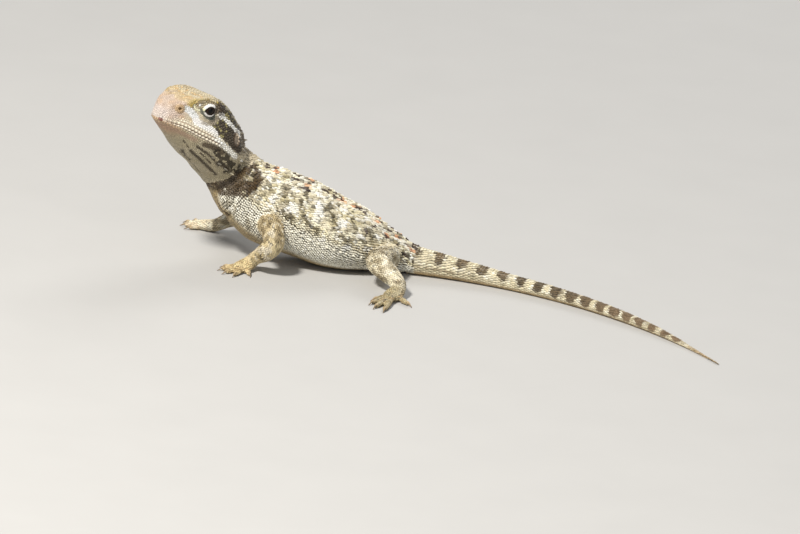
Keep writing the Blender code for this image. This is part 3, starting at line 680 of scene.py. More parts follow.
def lid_border(turns):
    """The lids' opening and outer border, as arc lengths back and up from the eye's front.

    The turns start at the rear corner and go over the top.
    """
    c, s = np.cos(turns), np.sin(turns)
    front = ramp(0.2, 1.0, -c)
    inner = np.stack([1.45 * c, np.where(s > 0, 1.04, 0.94) * s * (1 - 0.34 * front)], axis=1)
    over = ramp(-0.1, 0.75, s)
    band = 0.56 + 0.3 * over + 0.06 * front - 0.22 * ramp(0.3, 0.95, c) * (1 - 0.4 * over)
    outer = inner + unit(inner * (0.8, 1.0)) * band[:, None]
    turned = []
    for pair in (inner, outer):
        x = pair[:, 0] * math.cos(LID_TILT) - pair[:, 1] * math.sin(LID_TILT) + LID_CENTRE[0]
        y = pair[:, 0] * math.sin(LID_TILT) + pair[:, 1] * math.cos(LID_TILT) + LID_CENTRE[1]
        turned.append(np.stack([x, y], axis=1))
    return turned


def lid_colour(turns, across):
    """White lids, dark at the eye (a rim that is partly painted shade where the lid meets the eye),
    and grey-brown at the rear corner and beyond the white band.
    """
    c, s = np.cos(turns), np.sin(turns)
    edge = np.where(s > 0, 0.14, 0.34)
    return layered(np.tile(tone(250, 246, 240), (len(turns), 1)), (
        ((104, 92, 76), ramp(0.6, 0.84, c)),
        ((232, 226, 180), 0.9 * ramp(0.8, 0.95, -c) * (s > -0.1)),
        ((112, 112, 92), 0.9 * ramp(0.7, 0.9, -c) * (s <= -0.1)),
        ((88, 76, 60), 0.85 * ramp(0.76, 0.96, across)),
        # Dark inner rim: partly its own colour, partly painted shade where the lid meets the eye
        ((40, 32, 26), ramp(edge + 0.06, edge - 0.06, across)),
    ))


def on_eye(frame, arcs, radius):
    """Points at arc lengths (back, up) from the eye's front, at a distance from its centre."""
    centre, along, look, upright = frame
    arcs = np.asarray(arcs, float)
    angle = np.linalg.norm(arcs, axis=1) / EYE_ARC_RADIUS
    aim = unit(arcs)
    direction = (
        np.cos(angle)[:, None] * look
        + (np.sin(angle) * aim[:, 0])[:, None] * along
        + (np.sin(angle) * aim[:, 1])[:, None] * upright
    )
    return centre + direction * np.broadcast_to(radius, len(arcs))[:, None]


def eye_arcs(frame, points):
    """The reverse of on_eye: arc lengths and distance."""
    centre, along, look, upright = frame
    away = points - centre
    distance = np.linalg.norm(away, axis=1)
    direction = away / np.maximum(distance, 1e-9)[:, None]
    angle = np.arccos(np.clip(direction @ look, -1, 1))
    flat = np.stack([direction @ along, direction @ upright], axis=1)
    return unit(flat) * (angle * EYE_ARC_RADIUS)[:, None], distance


def lid_share(arcs):
    """0 at the lids' opening and 1 at their outer border, less inside and more outside."""
    turns = np.linspace(-np.pi, np.pi, 181)
    inner, outer = lid_border(turns)
    centre = np.array(LID_CENTRE)
    rel = arcs - centre
    aim = np.arctan2(rel[:, 1], rel[:, 0])
    reach = np.linalg.norm(rel, axis=1)
    found = []
    for border in (inner, outer):
        b = border - centre
        turns, out = np.arctan2(b[:, 1], b[:, 0]), np.linalg.norm(b, axis=1)
        order = np.argsort(turns)
        found.append(np.interp(aim, turns[order], out[order], period=2 * np.pi))
    return (reach - found[0]) / np.maximum(found[1] - found[0], 0.1)


# ---- relief of the skin


def near_line(points, line):
    """Distance of flat points from a broken line."""
    points = np.asarray(points, float)
    best = np.full(len(points), 1e9)
    for a, b in zip(line[:-1], line[1:]):
        a, b = np.array(a, float), np.array(b, float)
        t = np.clip(((points - a) @ (b - a)) / max((b - a) @ (b - a), 1e-9), 0, 1)
        best = np.minimum(best, np.linalg.norm(points - a - t[:, None] * (b - a), axis=1))
    return best


def unrolled(line):
    """A line of (station, degrees from the back), as millimetres along and round the trunk."""
    return [(x, degrees / DEGREES_PER_MM) for x, degrees in line]


# Rear edge of the throat and jaw, as (back, up) in the head's frame, from below upwards
GULAR_FOLD = ((21.2, -13.0), (22.1, -10.3), (23.0, -7.5), (23.9, -5.0), (24.8, -2.6))

# Folds on the trunk: lines of (station x, degrees from the back), with depth
FOLDS = (
    (((-16.5, 62), (-14.5, 76), (-11.5, 84), (-8.5, 90)), 0.35),
    (((-15.2, 58), (-12.6, 70), (-9.8, 78)), 0.22),
    (((-13.5, 86), (-10.0, 95), (-6.0, 101)), 0.2),
    (((-25.0, 40), (-24.0, 75), (-22.5, 110), (-22.0, 140)), 0.35),
    (((-21.8, 50), (-20.8, 80), (-19.8, 110)), 0.2),
    (((6.5, 60), (8.5, 85), (9.5, 110)), 0.3),
    (((-22.0, 180), (-21.5, 130)), 0.25),
)


def relief(points, normals, part, station, angle):
    """The skin with eye sockets, nostrils, ears, mouth line and folds."""
    points = points.copy()
    local = head_local(points)
    on_head = part == HEAD
    shift = np.zeros(len(points))
    back, up = local[:, 0], local[:, 2]
    mouth = through(MOUTH, back)[:, 0]
    line = bell(up - mouth, 0.5) * ramp(MOUTH_END + 0.8, MOUTH_END - 1, back)
    shift += 0.16 * line * on_head
    for side in SIDES:
        away = np.linalg.norm(local - mirrored(NOSTRIL_AT, side), axis=1)
        rim = NOSTRIL_RISE * ramp(NOSTRIL_RIM, 0.5 * NOSTRIL_RIM, away)
        shift += rim - NOSTRIL_PIT * ramp(NOSTRIL_HOLE * 1.5, NOSTRIL_HOLE * 0.4, away)
        away = (local - mirrored(EAR_AT, side)) / (1.05, 2.0, 1.35)
        away = np.linalg.norm(away, axis=1)
        shift += 0.16 * bell(away - 1.12, 0.22) - 0.5 * ramp(1.0, 0.6, away)
    jaw_rear = near_line(np.stack([back, up], axis=1), GULAR_FOLD)
    beyond = ramp(-0.3, 0.9, back - np.interp(up, *np.array(GULAR_FOLD)[:, ::-1].T))
    shift += 0.14 * bell(jaw_rear, 0.45) - 0.75 * beyond * bell(jaw_rear, 1.5)
    flat = np.stack([station, abs(angle) / DEGREES_PER_MM], axis=1)
    for fold, depth in FOLDS:
        away = near_line(flat, unrolled(fold))
        groove = -depth * bell(away, 0.4) + 0.35 * depth * bell(away - 1.0, 0.5)
        shift += (part == BODY) * groove
    shift += (noise(points, 2.6, 3) - 0.5) * 0.22 * ((part == BODY) | (part == HEAD))
    points += normals * (shift - INSET)[:, None]
    for side in SIDES:
        frame_of_eye = eye_frame(side)
        arcs, distance = eye_arcs(frame_of_eye, points)
        near = (distance < 5) & (np.linalg.norm(arcs, axis=1) < 3.6) & on_head
        share = lid_share(arcs)
        centre = frame_of_eye[0]
        socket = 1.7 + 0.5 * ramp(0.5, 1.0, share)
        keep = ramp(1.0, 2.4, share)
        target = np.where(distance > socket, socket * (1 - keep) + distance * keep, distance)
        scaled = centre + (points - centre) * (target / np.maximum(distance, 1e-9))[:, None]
        points = np.where(near[:, None], scaled, points)
    points[:, 2] = np.maximum(points[:, 2], 0.0)
    return points


# ---- markings with some painted shade and painted highlight, shared by the skin and the scales


def paint(colour, over, mask):
    mask = np.clip(mask, 0, 1)[:, None]
    return colour * (1 - mask) + np.asarray(over) * mask


def plain(display, points):
    """One colour, given by its display values, for every point."""
    return np.broadcast_to(tone(*display), points.shape).copy()


def layered(colour, layers):
    """The colour with layers of (display values, mask) over it, the last on top."""
    for display, mask in layers:
        colour = paint(colour, tone(*display), mask)
    return colour


def stroke(flat, line, half, soft=0.35):
    return ramp(half + soft, half - soft * 0.5, near_line(flat, line))


# Lines on the side of the head, as (back, up)
STRIPE = ((12.6, 5.85), (14.8, 5.3), (16.8, 4.55), (19.0, 3.7), (21.0, 2.9), (22.4, 2.4))
BAND_TOP = (
    (10.2, 3.6), (11.2, 4.2), (12.4, 5.4), (14.8, 4.9), (16.8, 4.1), (19.0, 3.2), (21.0, 2.4),
    (22.4, 1.9),
)
BAND_LOW = (
    (10.2, 3.2), (11.2, 2.9), (12.1, 2.55), (13.4, 1.75), (14.8, 0.85), (16.4, 0.35), (18.7, -0.9),
    (22.4, -2.0),
)
BROW_LINE = ((4.9, 5.2), (4.9, 6.4), (5.8, 7.3), (7.2, 8.2), (9.0, 9.0), (11.0, 9.3), (12.4, 8.4))
# Painted shade under the brow's overhang
BROW_SHADE_LINE = ((5.6, 5.0), (6.0, 6.1), (6.9, 7.1), (8.5, 7.8), (10.4, 7.9), (12.0, 7.4))
LORE = ((4.6, 4.3), (5.6, 4.1), (6.4, 3.65), (7.4, 3.1))
CHEEK = ((7.7, 2.3), (9.3, 2.15), (10.9, 1.85), (12.3, 1.4), (13.3, 0.95))
EYE_ARC = ((5.6, 6.0), (6.1, 5.3), (6.8, 4.95), (7.7, 5.05))
JAW_STRIPE = ((13.6, 0.25), (14.9, -0.3), (16.6, -0.9), (18.1, -1.4), (19.6, -2.0), (21.2, -2.55))
JAW_PATCH = ((12.1, -2.2), (13.8, -2.1), (15.7, -2.2), (17.1, -2.7))
JAW_MOTTLE = ((16.0, -3.2), (17.7, -3.3), (19.8, -3.9), (22.3, -4.8), (24.5, -6.1))
JAW_MOTTLE_LOW = ((18.1, -5.2), (21.0, -6.5))
# Dark lines of the throat, each with half its width
THROAT_LINES = (
    (((9.9, -3.3), (12.3, -3.7), (14.6, -4.3), (17.3, -5.3), (19.6, -5.8), (22.2, -6.2)), 0.26),
    (((10.6, -4.9), (11.7, -5.4), (13.8, -6.1), (16.1, -7.0), (18.4, -7.9), (19.8, -8.5)), 0.26),
    (((9.4, -5.4), (10.2, -6.0), (11.7, -6.9), (13.3, -7.4)), 0.14),
    (((12.6, -4.6), (14.6, -5.3), (16.6, -6.2)), 0.12),
    (((7.6, -3.2), (8.8, -3.9), (9.8, -4.5)), 0.1),
)


def eye_surround(points):
    """For the nearer eye: distance out from the lids, and how far behind and above its middle."""
    share, back, up = np.full(len(points), 9.0), np.zeros(len(points)), np.zeros(len(points))
    for side in SIDES:
        arcs, distance = eye_arcs(eye_frame(side), points)
        near = (distance < 4.2) & (np.linalg.norm(arcs, axis=1) < 4.0)
        share = np.where(near, lid_share(arcs), share)
        aim = unit(arcs - np.array(LID_CENTRE))
        back, up = np.where(near, aim[:, 0], back), np.where(near, aim[:, 1], up)
    return share, back, up


class HeadPlaces:
    """Back, out and up of points on the head, and what the markings measure from them."""

    def __init__(self, points, local):
        self.points = points
        self.b, self.o, self.u = local[:, 0], abs(local[:, 1]), local[:, 2]
        self.left = local[:, 1]
        self.side = np.stack([self.b, self.u], axis=1)
        self.over = self.u - through(MOUTH, self.b)[:, 0]
        self.rim = self.o / through(BROW_WIDTH, self.b)[:, 0]
        self.grain, self.fine = noise(points, 1.4, 21), noise(points, 0.7, 22)


def crown_layers(at):
    b, u, over, grain = at.b, at.u, at.over, at.grain
    tan = ramp(8, 5, b) * ramp(0.2, 1.2, over) * ramp(0.45, 0.7, grain)
    crown = ramp(5.0, 6.3, u) * ramp(1.2, 3.0, b) * ramp(17, 13, b)
    snout = ramp(7, 5, b) * ramp(0.6, 1.2, over)
    snout = snout * ramp(0.54, 0.7, noise(at.points, 0.6, 28))
    amber = crown * ramp(0.6, 0.7, at.fine) * ramp(3, 5, b) * ramp(10, 8, b)
    amber = amber * ramp(0.9, 0.7, at.rim)
    yellow = 0.6 * crown * ramp(8.5, 5.5, b) * ramp(0.25, 0.55, grain)
    grey = 0.8 * crown * ramp(0.2, 0.45, grain) * ramp(5.5, 8.5, b)
    return (
        (PINK_TAN, ramp(6.5, 3.5, b) * ramp(0.3, 1.6, u)),
        (TAN, 0.3 * tan),
        (YELLOW, yellow),
        ((192, 178, 144), grey),
        ((150, 126, 88), 0.45 * crown * ramp(0.52, 0.68, noise(at.points, 0.6, 26))),
        ((158, 128, 104), 0.35 * snout),
        ((204, 164, 104), 0.6 * amber),
        ((150, 132, 88), 0.6 * crown * ramp(12, 14.5, b) * ramp(0.5, 0.62, grain)),
        ((212, 203, 196), 0.75 * ramp(2.0, 0.8, b) * ramp(3.2, 1.6, u)),
        ((212, 194, 184), 0.4 * ramp(4.5, 2.0, b) * ramp(3.8, 2.2, u)),
    )


def cheek_layers(at):
    """Brow with painted shade under it, lore, cheek and upper lip."""
    b, o, over, side = at.b, at.o, at.over, at.side
    side_face = ramp(0.78, 0.9, at.rim)
    spots = noise(at.points, 0.95, 25)
    brow = stroke(side, BROW_LINE, 0.62, 0.35)
    brow = brow * side_face * (o > 3.4)
    brow_shade = stroke(side, BROW_SHADE_LINE, 0.24, 0.2)
    lore = stroke(side, LORE, 0.74, 0.3) * (o > 3.5)
    cheek = stroke(side, CHEEK, 0.8, 0.16)
    upper_lip = ramp(0.1, 0.3, over) * ramp(1.9, 1.4, over)
    upper_lip = upper_lip * ramp(MOUTH_END + 0.5, MOUTH_END - 1, b)
    return (
        ((186, 162, 88), brow * (0.65 + 0.35 * ramp(0.35, 0.6, at.fine))),
        ((124, 96, 52), 0.7 * brow * ramp(6.5, 8.5, b) * ramp(0.52, 0.62, spots)),
        # Painted shade under the brow
        ((100, 78, 44), 0.6 * brow_shade * side_face),
        ((240, 240, 237), lore),
        ((158, 160, 146), 0.6 * lore * ramp(0.6, 0.72, at.fine)),
        ((246, 243, 238), cheek * (over > 0.2) * (o > 4)),
        ((246, 236, 214), 0.6 * upper_lip * ramp(2.0, 5.0, b)),
    )


def band_layers(at):
    """The white stripe and the dark bands behind the eye, and the ear."""
    points, b, o, u = at.points, at.b, at.o, at.u
    top, low = np.interp(b, *np.array(BAND_TOP).T), np.interp(b, *np.array(BAND_LOW).T)
    band = ramp(low - 0.12, low + 0.12, u) * ramp(top + 0.1, top - 0.1, u) * (o > 4.5)
    band *= ramp(10.3, 11.0, b) * ramp(23.0, 21.8, b)
    flecks = ramp(0.52, 0.62, noise(points, 0.75, 27)) * band
    flecks = flecks * ramp(18, 15.5, b) * ramp(11.8, 12.8, b)
    rise = u - np.interp(b, *np.array(STRIPE).T)
    above = ramp(0.5, 0.68, rise) * ramp(3.3, 2.5, rise)
    above = above * ramp(12.4, 13.2, b) * (o > 2.6)
    stripe = ramp(0.68, 0.55, abs(rise)) * ramp(12.3, 12.9, b)
    stripe = stripe * ramp(22.8, 21.8, b) * (o > 4)
    rear = ramp(21.8, 23.2, b) * ramp(-2.5, 0.0, u)
    ear = np.hypot((b - EAR_AT[0]) / 1.0, (u - EAR_AT[2]) / 1.3)
    return (
        ((58, 47, 34), 0.95 * band),
        ((170, 160, 108), 0.85 * flecks),
        ((62, 51, 37), 0.94 * above),
        ((158, 146, 96), 0.8 * above * ramp(0.52, 0.64, noise(points, 0.85, 29))),
        ((246, 243, 234), stripe),
        ((78, 62, 45), 0.88 * rear * ramp(0.1, 0.35, at.grain)),
        ((88, 70, 52), 0.8 * ramp(1.5, 1.2, ear) * (o > 5)),
        ((222, 202, 176), ramp(1.0, 0.8, ear) * (o > 5)),
    )


def eye_layers(at):
    """Round the eye, and the nostril."""
    b, o, u = at.b, at.o, at.u
    share, back, up = eye_surround(at.points)
    lower = ramp(0.1, -0.25, up) * ramp(1.95, 1.7, share)
    taupe = ramp(0.0, -0.3, up) * ramp(1.8, 2.0, share)
    taupe = taupe * ramp(2.9, 2.5, share) * ramp(-0.6, -0.2, back)
    behind = ramp(0.55, 0.75, back) * ramp(4.2, 3.4, share)
    behind = behind * ramp(-0.25, 0.1, up)
    arc = stroke(at.side, EYE_ARC, 0.2, 0.14) * (o > 4.5)
    blob = ramp(0.55, 0.35, np.hypot(b - 7.2, u - 6.4)) * (o > 4.5)
    nose = np.stack([b - NOSTRIL_AT[0], o - NOSTRIL_AT[1], u - NOSTRIL_AT[2]], axis=1)
    nose = np.linalg.norm(nose, axis=1)
    return (
        ((84, 88, 78), 0.9 * lower),
        ((164, 152, 132), 0.7 * taupe),
        ((70, 56, 42), 0.9 * behind),
        ((238, 234, 198), 0.9 * arc),
        ((250, 246, 240), 0.85 * blob),
        ((190, 160, 120), 0.85 * ramp(1.3, 1.0, nose)),
        ((140, 108, 62), ramp(0.56, 0.34, nose)),
    )


def chin_layers(at):
    b, u, over = at.b, at.u, at.over
    pink = 0.6 * ramp(-0.9, -1.3, over) * ramp(-2.6, -1.9, over)
    edge = 0.69 * (0.55 + 0.05 * np.clip(b, 0, 14))
    lower_lip = ramp(-edge - 0.1, -edge + 0.1, over) * ramp(2.0, 4.2, b)
    lower_lip = lower_lip * ramp(MOUTH_END + 1, MOUTH_END - 2, b)
    return (
        ((170, 158, 128), 0.6 * ramp(0.45, 0.7, noise(at.points, 3.0, 35))),
        ((192, 160, 128), 0.8 * ramp(7.5, 3.0, b) * ramp(-4.6, -2.2, u)),
        ((186, 152, 128), pink * ramp(11, 9, b)),
        ((248, 238, 216), 0.9 * lower_lip),
    )


def jaw_layers(at):
    """The jaw's stripe and mottling, the throat's lines, the mouth line as painted shade, painted
    shadow behind the jaw's angle, and the snout's tip.
    """
    points, b, o, u, over, side = at.points, at.b, at.o, at.u, at.over, at.side
    stripe = stroke(side, JAW_STRIPE, 0.62, 0.22)
    patch = stroke(side, JAW_PATCH, 0.62, 0.35) * (o > 4.5)
    mottle = stroke(side, JAW_MOTTLE, 1.1, 0.5) * (o > 4)
    mottle = np.maximum(mottle, stroke(side, JAW_MOTTLE_LOW, 0.8, 0.5) * (o > 4))
    dashes = ramp(0.22, 0.36, noise(points, 0.8, 33))
    middle = ramp(0.45, 0.15, abs(o - 1.5))
    middle = middle * ramp(9, 10.5, b) * ramp(20, 18, b)
    curl = ramp(0.75, 0.5, np.hypot(b - 23.8, 1.5 * (u + 3.1))) * (o > 5)
    # Dark spot behind the jaw's angle: painted shadow of the fold there
    spot = 0.95 * ramp(0.65, 0.45, np.hypot(b - 24.4, u + 4.4)) * (o > 5)
    # Painted shade in the mouth's slit
    mouth_slit_shade = ramp(0.2, 0.05, abs(over)) * ramp(MOUTH_END + 0.5, MOUTH_END - 0.5, b)
    tip = ramp(0.5, 0.3, np.hypot(b - 0.7, over + 0.05)) * (at.left > 0.4)
    return (
        ((244, 240, 228), stripe * (o > 5)),
        ((78, 63, 44), 0.9 * patch),
        ((50, 41, 26), 0.93 * mottle * ramp(0.36, 0.46, noise(points, 0.8, 31))),
        *(
            ((66, 54, 36), 0.9 * stroke(side, line, half, 0.16) * dashes * (o > 2.0))
            for line, half in THROAT_LINES
        ),
        ((104, 90, 64), 0.7 * middle * dashes * (over < -4)),
        ((244, 240, 230), 0.9 * curl),
        # Painted shadow behind the jaw's angle
        ((38, 30, 24), spot),
        # Painted shade along the mouth line
        ((96, 64, 46), 0.8 * mouth_slit_shade * ramp(1.6, 3.4, b)),
        ((120, 56, 40), 0.85 * tip),
    )


def head_markings(points, local):
    at = HeadPlaces(points, local)
    colour = plain((206, 193, 165), points)
    for layers in (crown_layers, cheek_layers, band_layers, eye_layers):
        colour = layered(colour, layers(at))
    chin = layered(plain((184, 172, 144), points), chin_layers(at))
    below = ramp(-0.1, -0.3, at.over)[:, None]
    return layered(colour * (1 - below) + chin * below, jaw_layers(at))


# Markings of the trunk, as (station x, degrees from the back on either side), radius in millimetres
ORANGE_SPOTS = (
    (-19.7, 13), (-9.5, 17), (-1.7, 7), (2.0, 6), (7.9, 17), (11.2, 34), (14.2, 20), (18.0, 30),
)
DARK_SPOTS = (
    (-22.6, 8, 0.8), (-19.9, 5, 0.7), (-13.3, 10, 0.8), (-11.8, 10, 0.7), (-9.4, 6, 0.8),
    (-10.1, 27, 0.6), (-5.7, 7, 0.7), (-3.7, 8, 0.8), (-2.2, 5, 0.8), (2.8, 5, 0.9), (4.3, 7, 0.9),
    (8.3, 6, 0.8), (11.7, 13, 1.0), (10.9, 37, 0.9), (14.6, 10, 0.8), (16.8, 22, 1.0),
    (18.4, 12, 0.7), (11.1, 67, 0.9), (6.2, 51, 0.7), (7.6, 34, 0.6), (14.0, 48, 0.8),
    (17.0, 60, 0.8),
)
WHITE_PATCHES = (
    (-11.7, 64, 1.9), (-5.6, 58, 1.8), (-6.4, 46, 1.3), (0.3, 59, 1.5), (-16.6, 62, 1.4),
    (5.0, 66, 1.2), (-17.8, 30, 1.2), (-12.4, 34, 1.0), (-7.2, 28, 1.1), (-0.6, 32, 1.2),
    (5.4, 28, 1.2), (10.0, 22, 1.0), (9.4, 52, 1.1), (-2.4, 92, 1.3), (-20.6, 34, 1.2),
    (3.6, 86, 1.1), (13.2, 32, 0.9), (8.4, 80, 1.2),
)
COLUMNS = (
    ((-9.8, 36), (-9.4, 56), (-8.6, 70), (-6.6, 79), (-4.6, 84)),
    ((-4.4, 36), (-3.2, 50), (-1.9, 62), (0.1, 72), (2.7, 77)),
    ((1.6, 36), (2.9, 50), (4.4, 60), (6.3, 70)),
    ((-15.2, 36), (-14.6, 52), (-13.6, 68), (-11.0, 80)),
    ((7.0, 44), (8.0, 60)),
)
BLOTCH_AT = (-14.5, 40)
# Painted shade along a crease under the neck, as (station x, degrees from the back)
CREASE_SHADE_LINE = ((-25.2, 143), (-23.5, 139), (-22.0, 142))
# The dark neck is partly the neck's own brown and partly painted shadow cast by the head.
# How far back the dark neck reaches, as (degrees from the back, station x)
NECK_SHADE_LIMIT = (
    (20, -25.0), (28, -22.9), (50, -21.3), (80, -21.6), (92, -22.8), (107, -23.9), (129, -25.0),
    (145, -26.8),
)


def back_layers(points, station, around, grain):
    """Mottling of the back and flanks, with pale specks on the back that are partly painted
    highlight.
    """
    back = ramp(100, 75, around)
    high = ramp(96, 80, around)
    rump = ramp(4, 12, station) * ramp(0.44, 0.58, noise(points, 1.0, 49)) * high
    specks = ramp(0.6, 0.7, noise(points, 0.55, 46)) * high
    # Pale specks on the back: partly pale scales, partly painted highlight
    lights = ramp(0.6, 0.7, noise(points, 0.6, 48)) * back
    return (
        ((166, 154, 126), 0.55 * back * ramp(0.46, 0.64, grain)),
        ((186, 174, 128), 0.5 * back * ramp(0.5, 0.7, noise(points, 2.2, 45))),
        ((118, 103, 70), 0.6 * rump),
        ((98, 86, 62), 0.5 * specks),
        # Pale specks: partly pale scales, partly painted highlight
        ((246, 243, 232), 0.6 * lights),
    )


def belly_layers(around, grain):
    lower = ramp(84, 94, around) * ramp(142, 128, around)
    return (
        ((230, 226, 210), 0.85 * lower),
        (BELLY, ramp(124, 142, around)),
        ((176, 150, 104), 0.5 * ramp(136, 150, around) * ramp(0.5, 0.65, grain)),
    )


def orange_layers(away, grain, fine):
    """One orange spot with its pale surround."""
    spot = ramp(1.25, 0.85, away)
    return (
        ((244, 238, 220), 0.6 * ramp(2.4, 1.6, away)),
        ((150, 132, 82), 0.6 * ramp(1.8, 1.2, away) * ramp(0.5, 0.6, grain)),
        (ORANGE, 0.85 * spot),
        ((196, 142, 106), 0.7 * spot * ramp(0.5, 0.62, fine)),
    )


def neck_layers(points, station, around, grain, crease_shade):
    limit = np.interp(around, *np.array(NECK_SHADE_LIMIT).T)
    neck = ramp(0.5, -0.5, station - limit) * ramp(22, 30, around)
    chest = ramp(-14, -18, station) * ramp(100, 116, around)
    streaks = ramp(0.5, 0.62, noise(points * (1.0, 1.0, 0.35), 0.9, 47))
    return (
        # Dark brown neck: partly its own colour, partly painted shadow of the head
        ((70, 50, 24), 0.92 * neck * ramp(0.1, 0.4, grain)),
        # Painted shade in the crease under the neck
        ((80, 62, 42), 0.8 * crease_shade),
        ((120, 108, 78), 0.6 * chest * streaks * ramp(150, 130, around)),
    )


def trunk_markings(points, station, angle):
    around = abs(angle)
    flat = np.stack([station, around / DEGREES_PER_MM], axis=1)
    wobble = np.stack([noise(points, 1.3, 41), noise(points, 1.3, 42)], axis=1) - 0.5
    loose = flat + 1.1 * wobble
    grain, fine = noise(points, 1.5, 43), noise(points, 0.8, 44)

    def away_from(x, degrees):
        return np.hypot(loose[:, 0] - x, loose[:, 1] - degrees / DEGREES_PER_MM)

    colour = layered(plain(CREAM, points), back_layers(points, station, around, grain))
    for x, a, r in WHITE_PATCHES:
        colour = layered(colour, [(WHITE, 0.85 * ramp(r, 0.6 * r, away_from(x, a)))])
    for line in COLUMNS:
        mask = stroke(loose, unrolled(line), 0.6, 0.4)
        colour = layered(colour, [((92, 82, 56), 0.85 * mask * ramp(0.36, 0.52, fine))])
    blotch = away_from(*BLOTCH_AT)
    colour = layered(colour, [(GREY_BROWN, 0.7 * ramp(2.2, 1.4, blotch))])
    colour = layered(colour, belly_layers(around, grain))
    for x, a in ORANGE_SPOTS:
        colour = layered(colour, orange_layers(away_from(x, a), grain, fine))
    for x, a, r in DARK_SPOTS:
        spot = 0.92 * ramp(r * 1.3, r * 0.85, away_from(x, a))
        colour = layered(colour, [((62, 44, 38), spot)])
    # Painted shade in the crease under the neck
    crease_shade = stroke(loose, unrolled(CREASE_SHADE_LINE), 0.25, 0.2)
    return layered(colour, neck_layers(points, station, around, grain, crease_shade))


TAIL_BANDS = (
    0.014, 0.080, 0.138, 0.195, 0.253, 0.305, 0.356, 0.405, 0.452, 0.498, 0.543, 0.588, 0.632,
    0.676, 0.72, 0.765, 0.81,
)


def tail_markings(points, station, angle):
    around = abs(angle)
    length = station * TAIL_LENGTH
    edge = (noise(points, 0.9, 51) - 0.5) * 1.0
    grain = noise(points, 0.7, 52)
    away = np.full(len(points), 9.0)
    reach = 78 + 40 * ramp(0.2, 0.45, station)
    for share in TAIL_BANDS:
        half = float(np.interp(share, (0.28, 0.42, 0.8), (1.45, 1.75, 1.6)))
        along = (length + edge - share * TAIL_LENGTH - 0.2 * around / 57) / half
        away = np.minimum(away, np.hypot(along, around / reach))
    band = ramp(1.12, 0.86, away)
    tip = ramp(0.3, 0.8, station)
    dark = tone(104, 90, 66)[None] * (1 - tip[:, None]) + tone(138, 116, 90)[None] * tip[:, None]
    colour = plain((216, 205, 174), points) * (1 - band[:, None]) + dark * band[:, None]
    light = 0.8 * (1 - band) * ramp(0.5, 0.7, grain) * ramp(100, 80, around)
    middle = ramp(0.75, 0.45, away) * ramp(0.34, 0.2, station)
    core = 0.45 * band * ramp(0.5, 0.66, grain) * (1 - tip) * (1 - 0.7 * middle)
    side_line = ramp(8, 4, abs(around - 96)) * ramp(0.25, 0.12, station)
    return layered(colour, (
        ((240, 234, 214), light),
        ((132, 112, 82), 0.75 * middle),
        (DARK, core),
        ((168, 156, 124), 0.45 * ramp(0.52, 0.68, noise(points, 1.1, 53)) * (1 - band)),
        ((112, 92, 64), 0.6 * side_line * ramp(0.3, 0.5, grain)),
        ((200, 176, 134), ramp(112, 130, around)),
        ((176, 146, 104), 0.7 * ramp(0.82, 0.92, station)),
    ))


def limb_markings(points, station, angle, part):
    around = abs(angle)
    grain, fine = noise(points, 1.2, 61), noise(points, 0.7, 62)
    leg = (part == LEG_L) | (part == LEG_R)
    colour = np.where(leg[:, None], tone(216, 205, 176), tone(200, 182, 144)) * np.ones_like(points)
    colour[part == ARM_R] = tone(230, 221, 198)
    elbow = 0.5 * (~leg) * ramp(2.2, 3.2, station) * ramp(0.3, 0.6, grain)
    blots = ramp(0.56, 0.66, grain) * ramp(150, 110, around)
    wave = 0.5 + 0.5 * np.sin(station * 5.2 + 2.2 * (noise(points, 1.5, 63) - 0.5))
    rows = ramp(0.62, 0.82, wave) * ramp(140, 110, around) * (station < 7)
    colour = layered(colour, (
        ((222, 206, 160), elbow),
        # Pale flecks on the upper limbs: partly pale scales, partly painted highlight
        ((242, 236, 220), 0.45 * ramp(0.42, 0.3, grain) * ramp(5.5, 4.5, station)),
        ((108, 90, 58), 0.65 * blots),
        ((134, 118, 86), 0.4 * rows),
    ))
    hand = ramp(5.6, 6.6, station)
    tan = np.where(leg[:, None], tone(196, 182, 144), tone(*FOOT_TAN))
    tan = np.where((part == ARM_R)[:, None], tone(240, 226, 196), tan)
    colour = colour * (1 - hand[:, None]) + tan * hand[:, None]
    bars = ramp(0.55, 0.8, 0.5 + 0.5 * np.sin(station * 11.0)) * (station > 8.3)
    return layered(colour, (
        ((158, 130, 88), 0.4 * bars),
        ((168, 140, 98), 0.45 * hand * ramp(0.58, 0.7, fine)),
        ((214, 190, 150), 0.6 * ramp(130, 160, around)),
    ))


def markings(points, part, station, angle):
    colour = np.zeros((len(points), 3))
    local = head_local(points)
    for parts, make in (
        ((HEAD,), lambda i: head_markings(points[i], local[i])),
        ((BODY,), lambda i: trunk_markings(points[i], station[i], angle[i])),
        ((TAIL,), lambda i: tail_markings(points[i], station[i], angle[i])),
        (LIMB_PARTS, lambda i: limb_markings(points[i], station[i], angle[i], part[i])),
    ):
        chosen = np.flatnonzero(np.isin(part, parts))
        if len(chosen):
            colour[chosen] = make(chosen)
    return colour


# ---- materials


def add_node(tree, kind, inputs):
    node = tree.nodes.new(kind)
    set_inputs(node, inputs)
    return node


def set_inputs(node, inputs):
    for name, number in inputs.items():
        node.inputs[name].default_value = number


def new_material(name, inputs):
    """A material with its node tree and its shader, whose inputs are set."""
    made = bpy.data.materials.new(name)
    made.use_nodes = True
    shader = made.node_tree.nodes["Principled BSDF"]
    set_inputs(shader, inputs)
    return made, made.node_tree, shader


def stored_colour(tree):
    node = tree.nodes.new("ShaderNodeVertexColor")
    node.layer_name = "markings"
    return node.outputs["Color"]


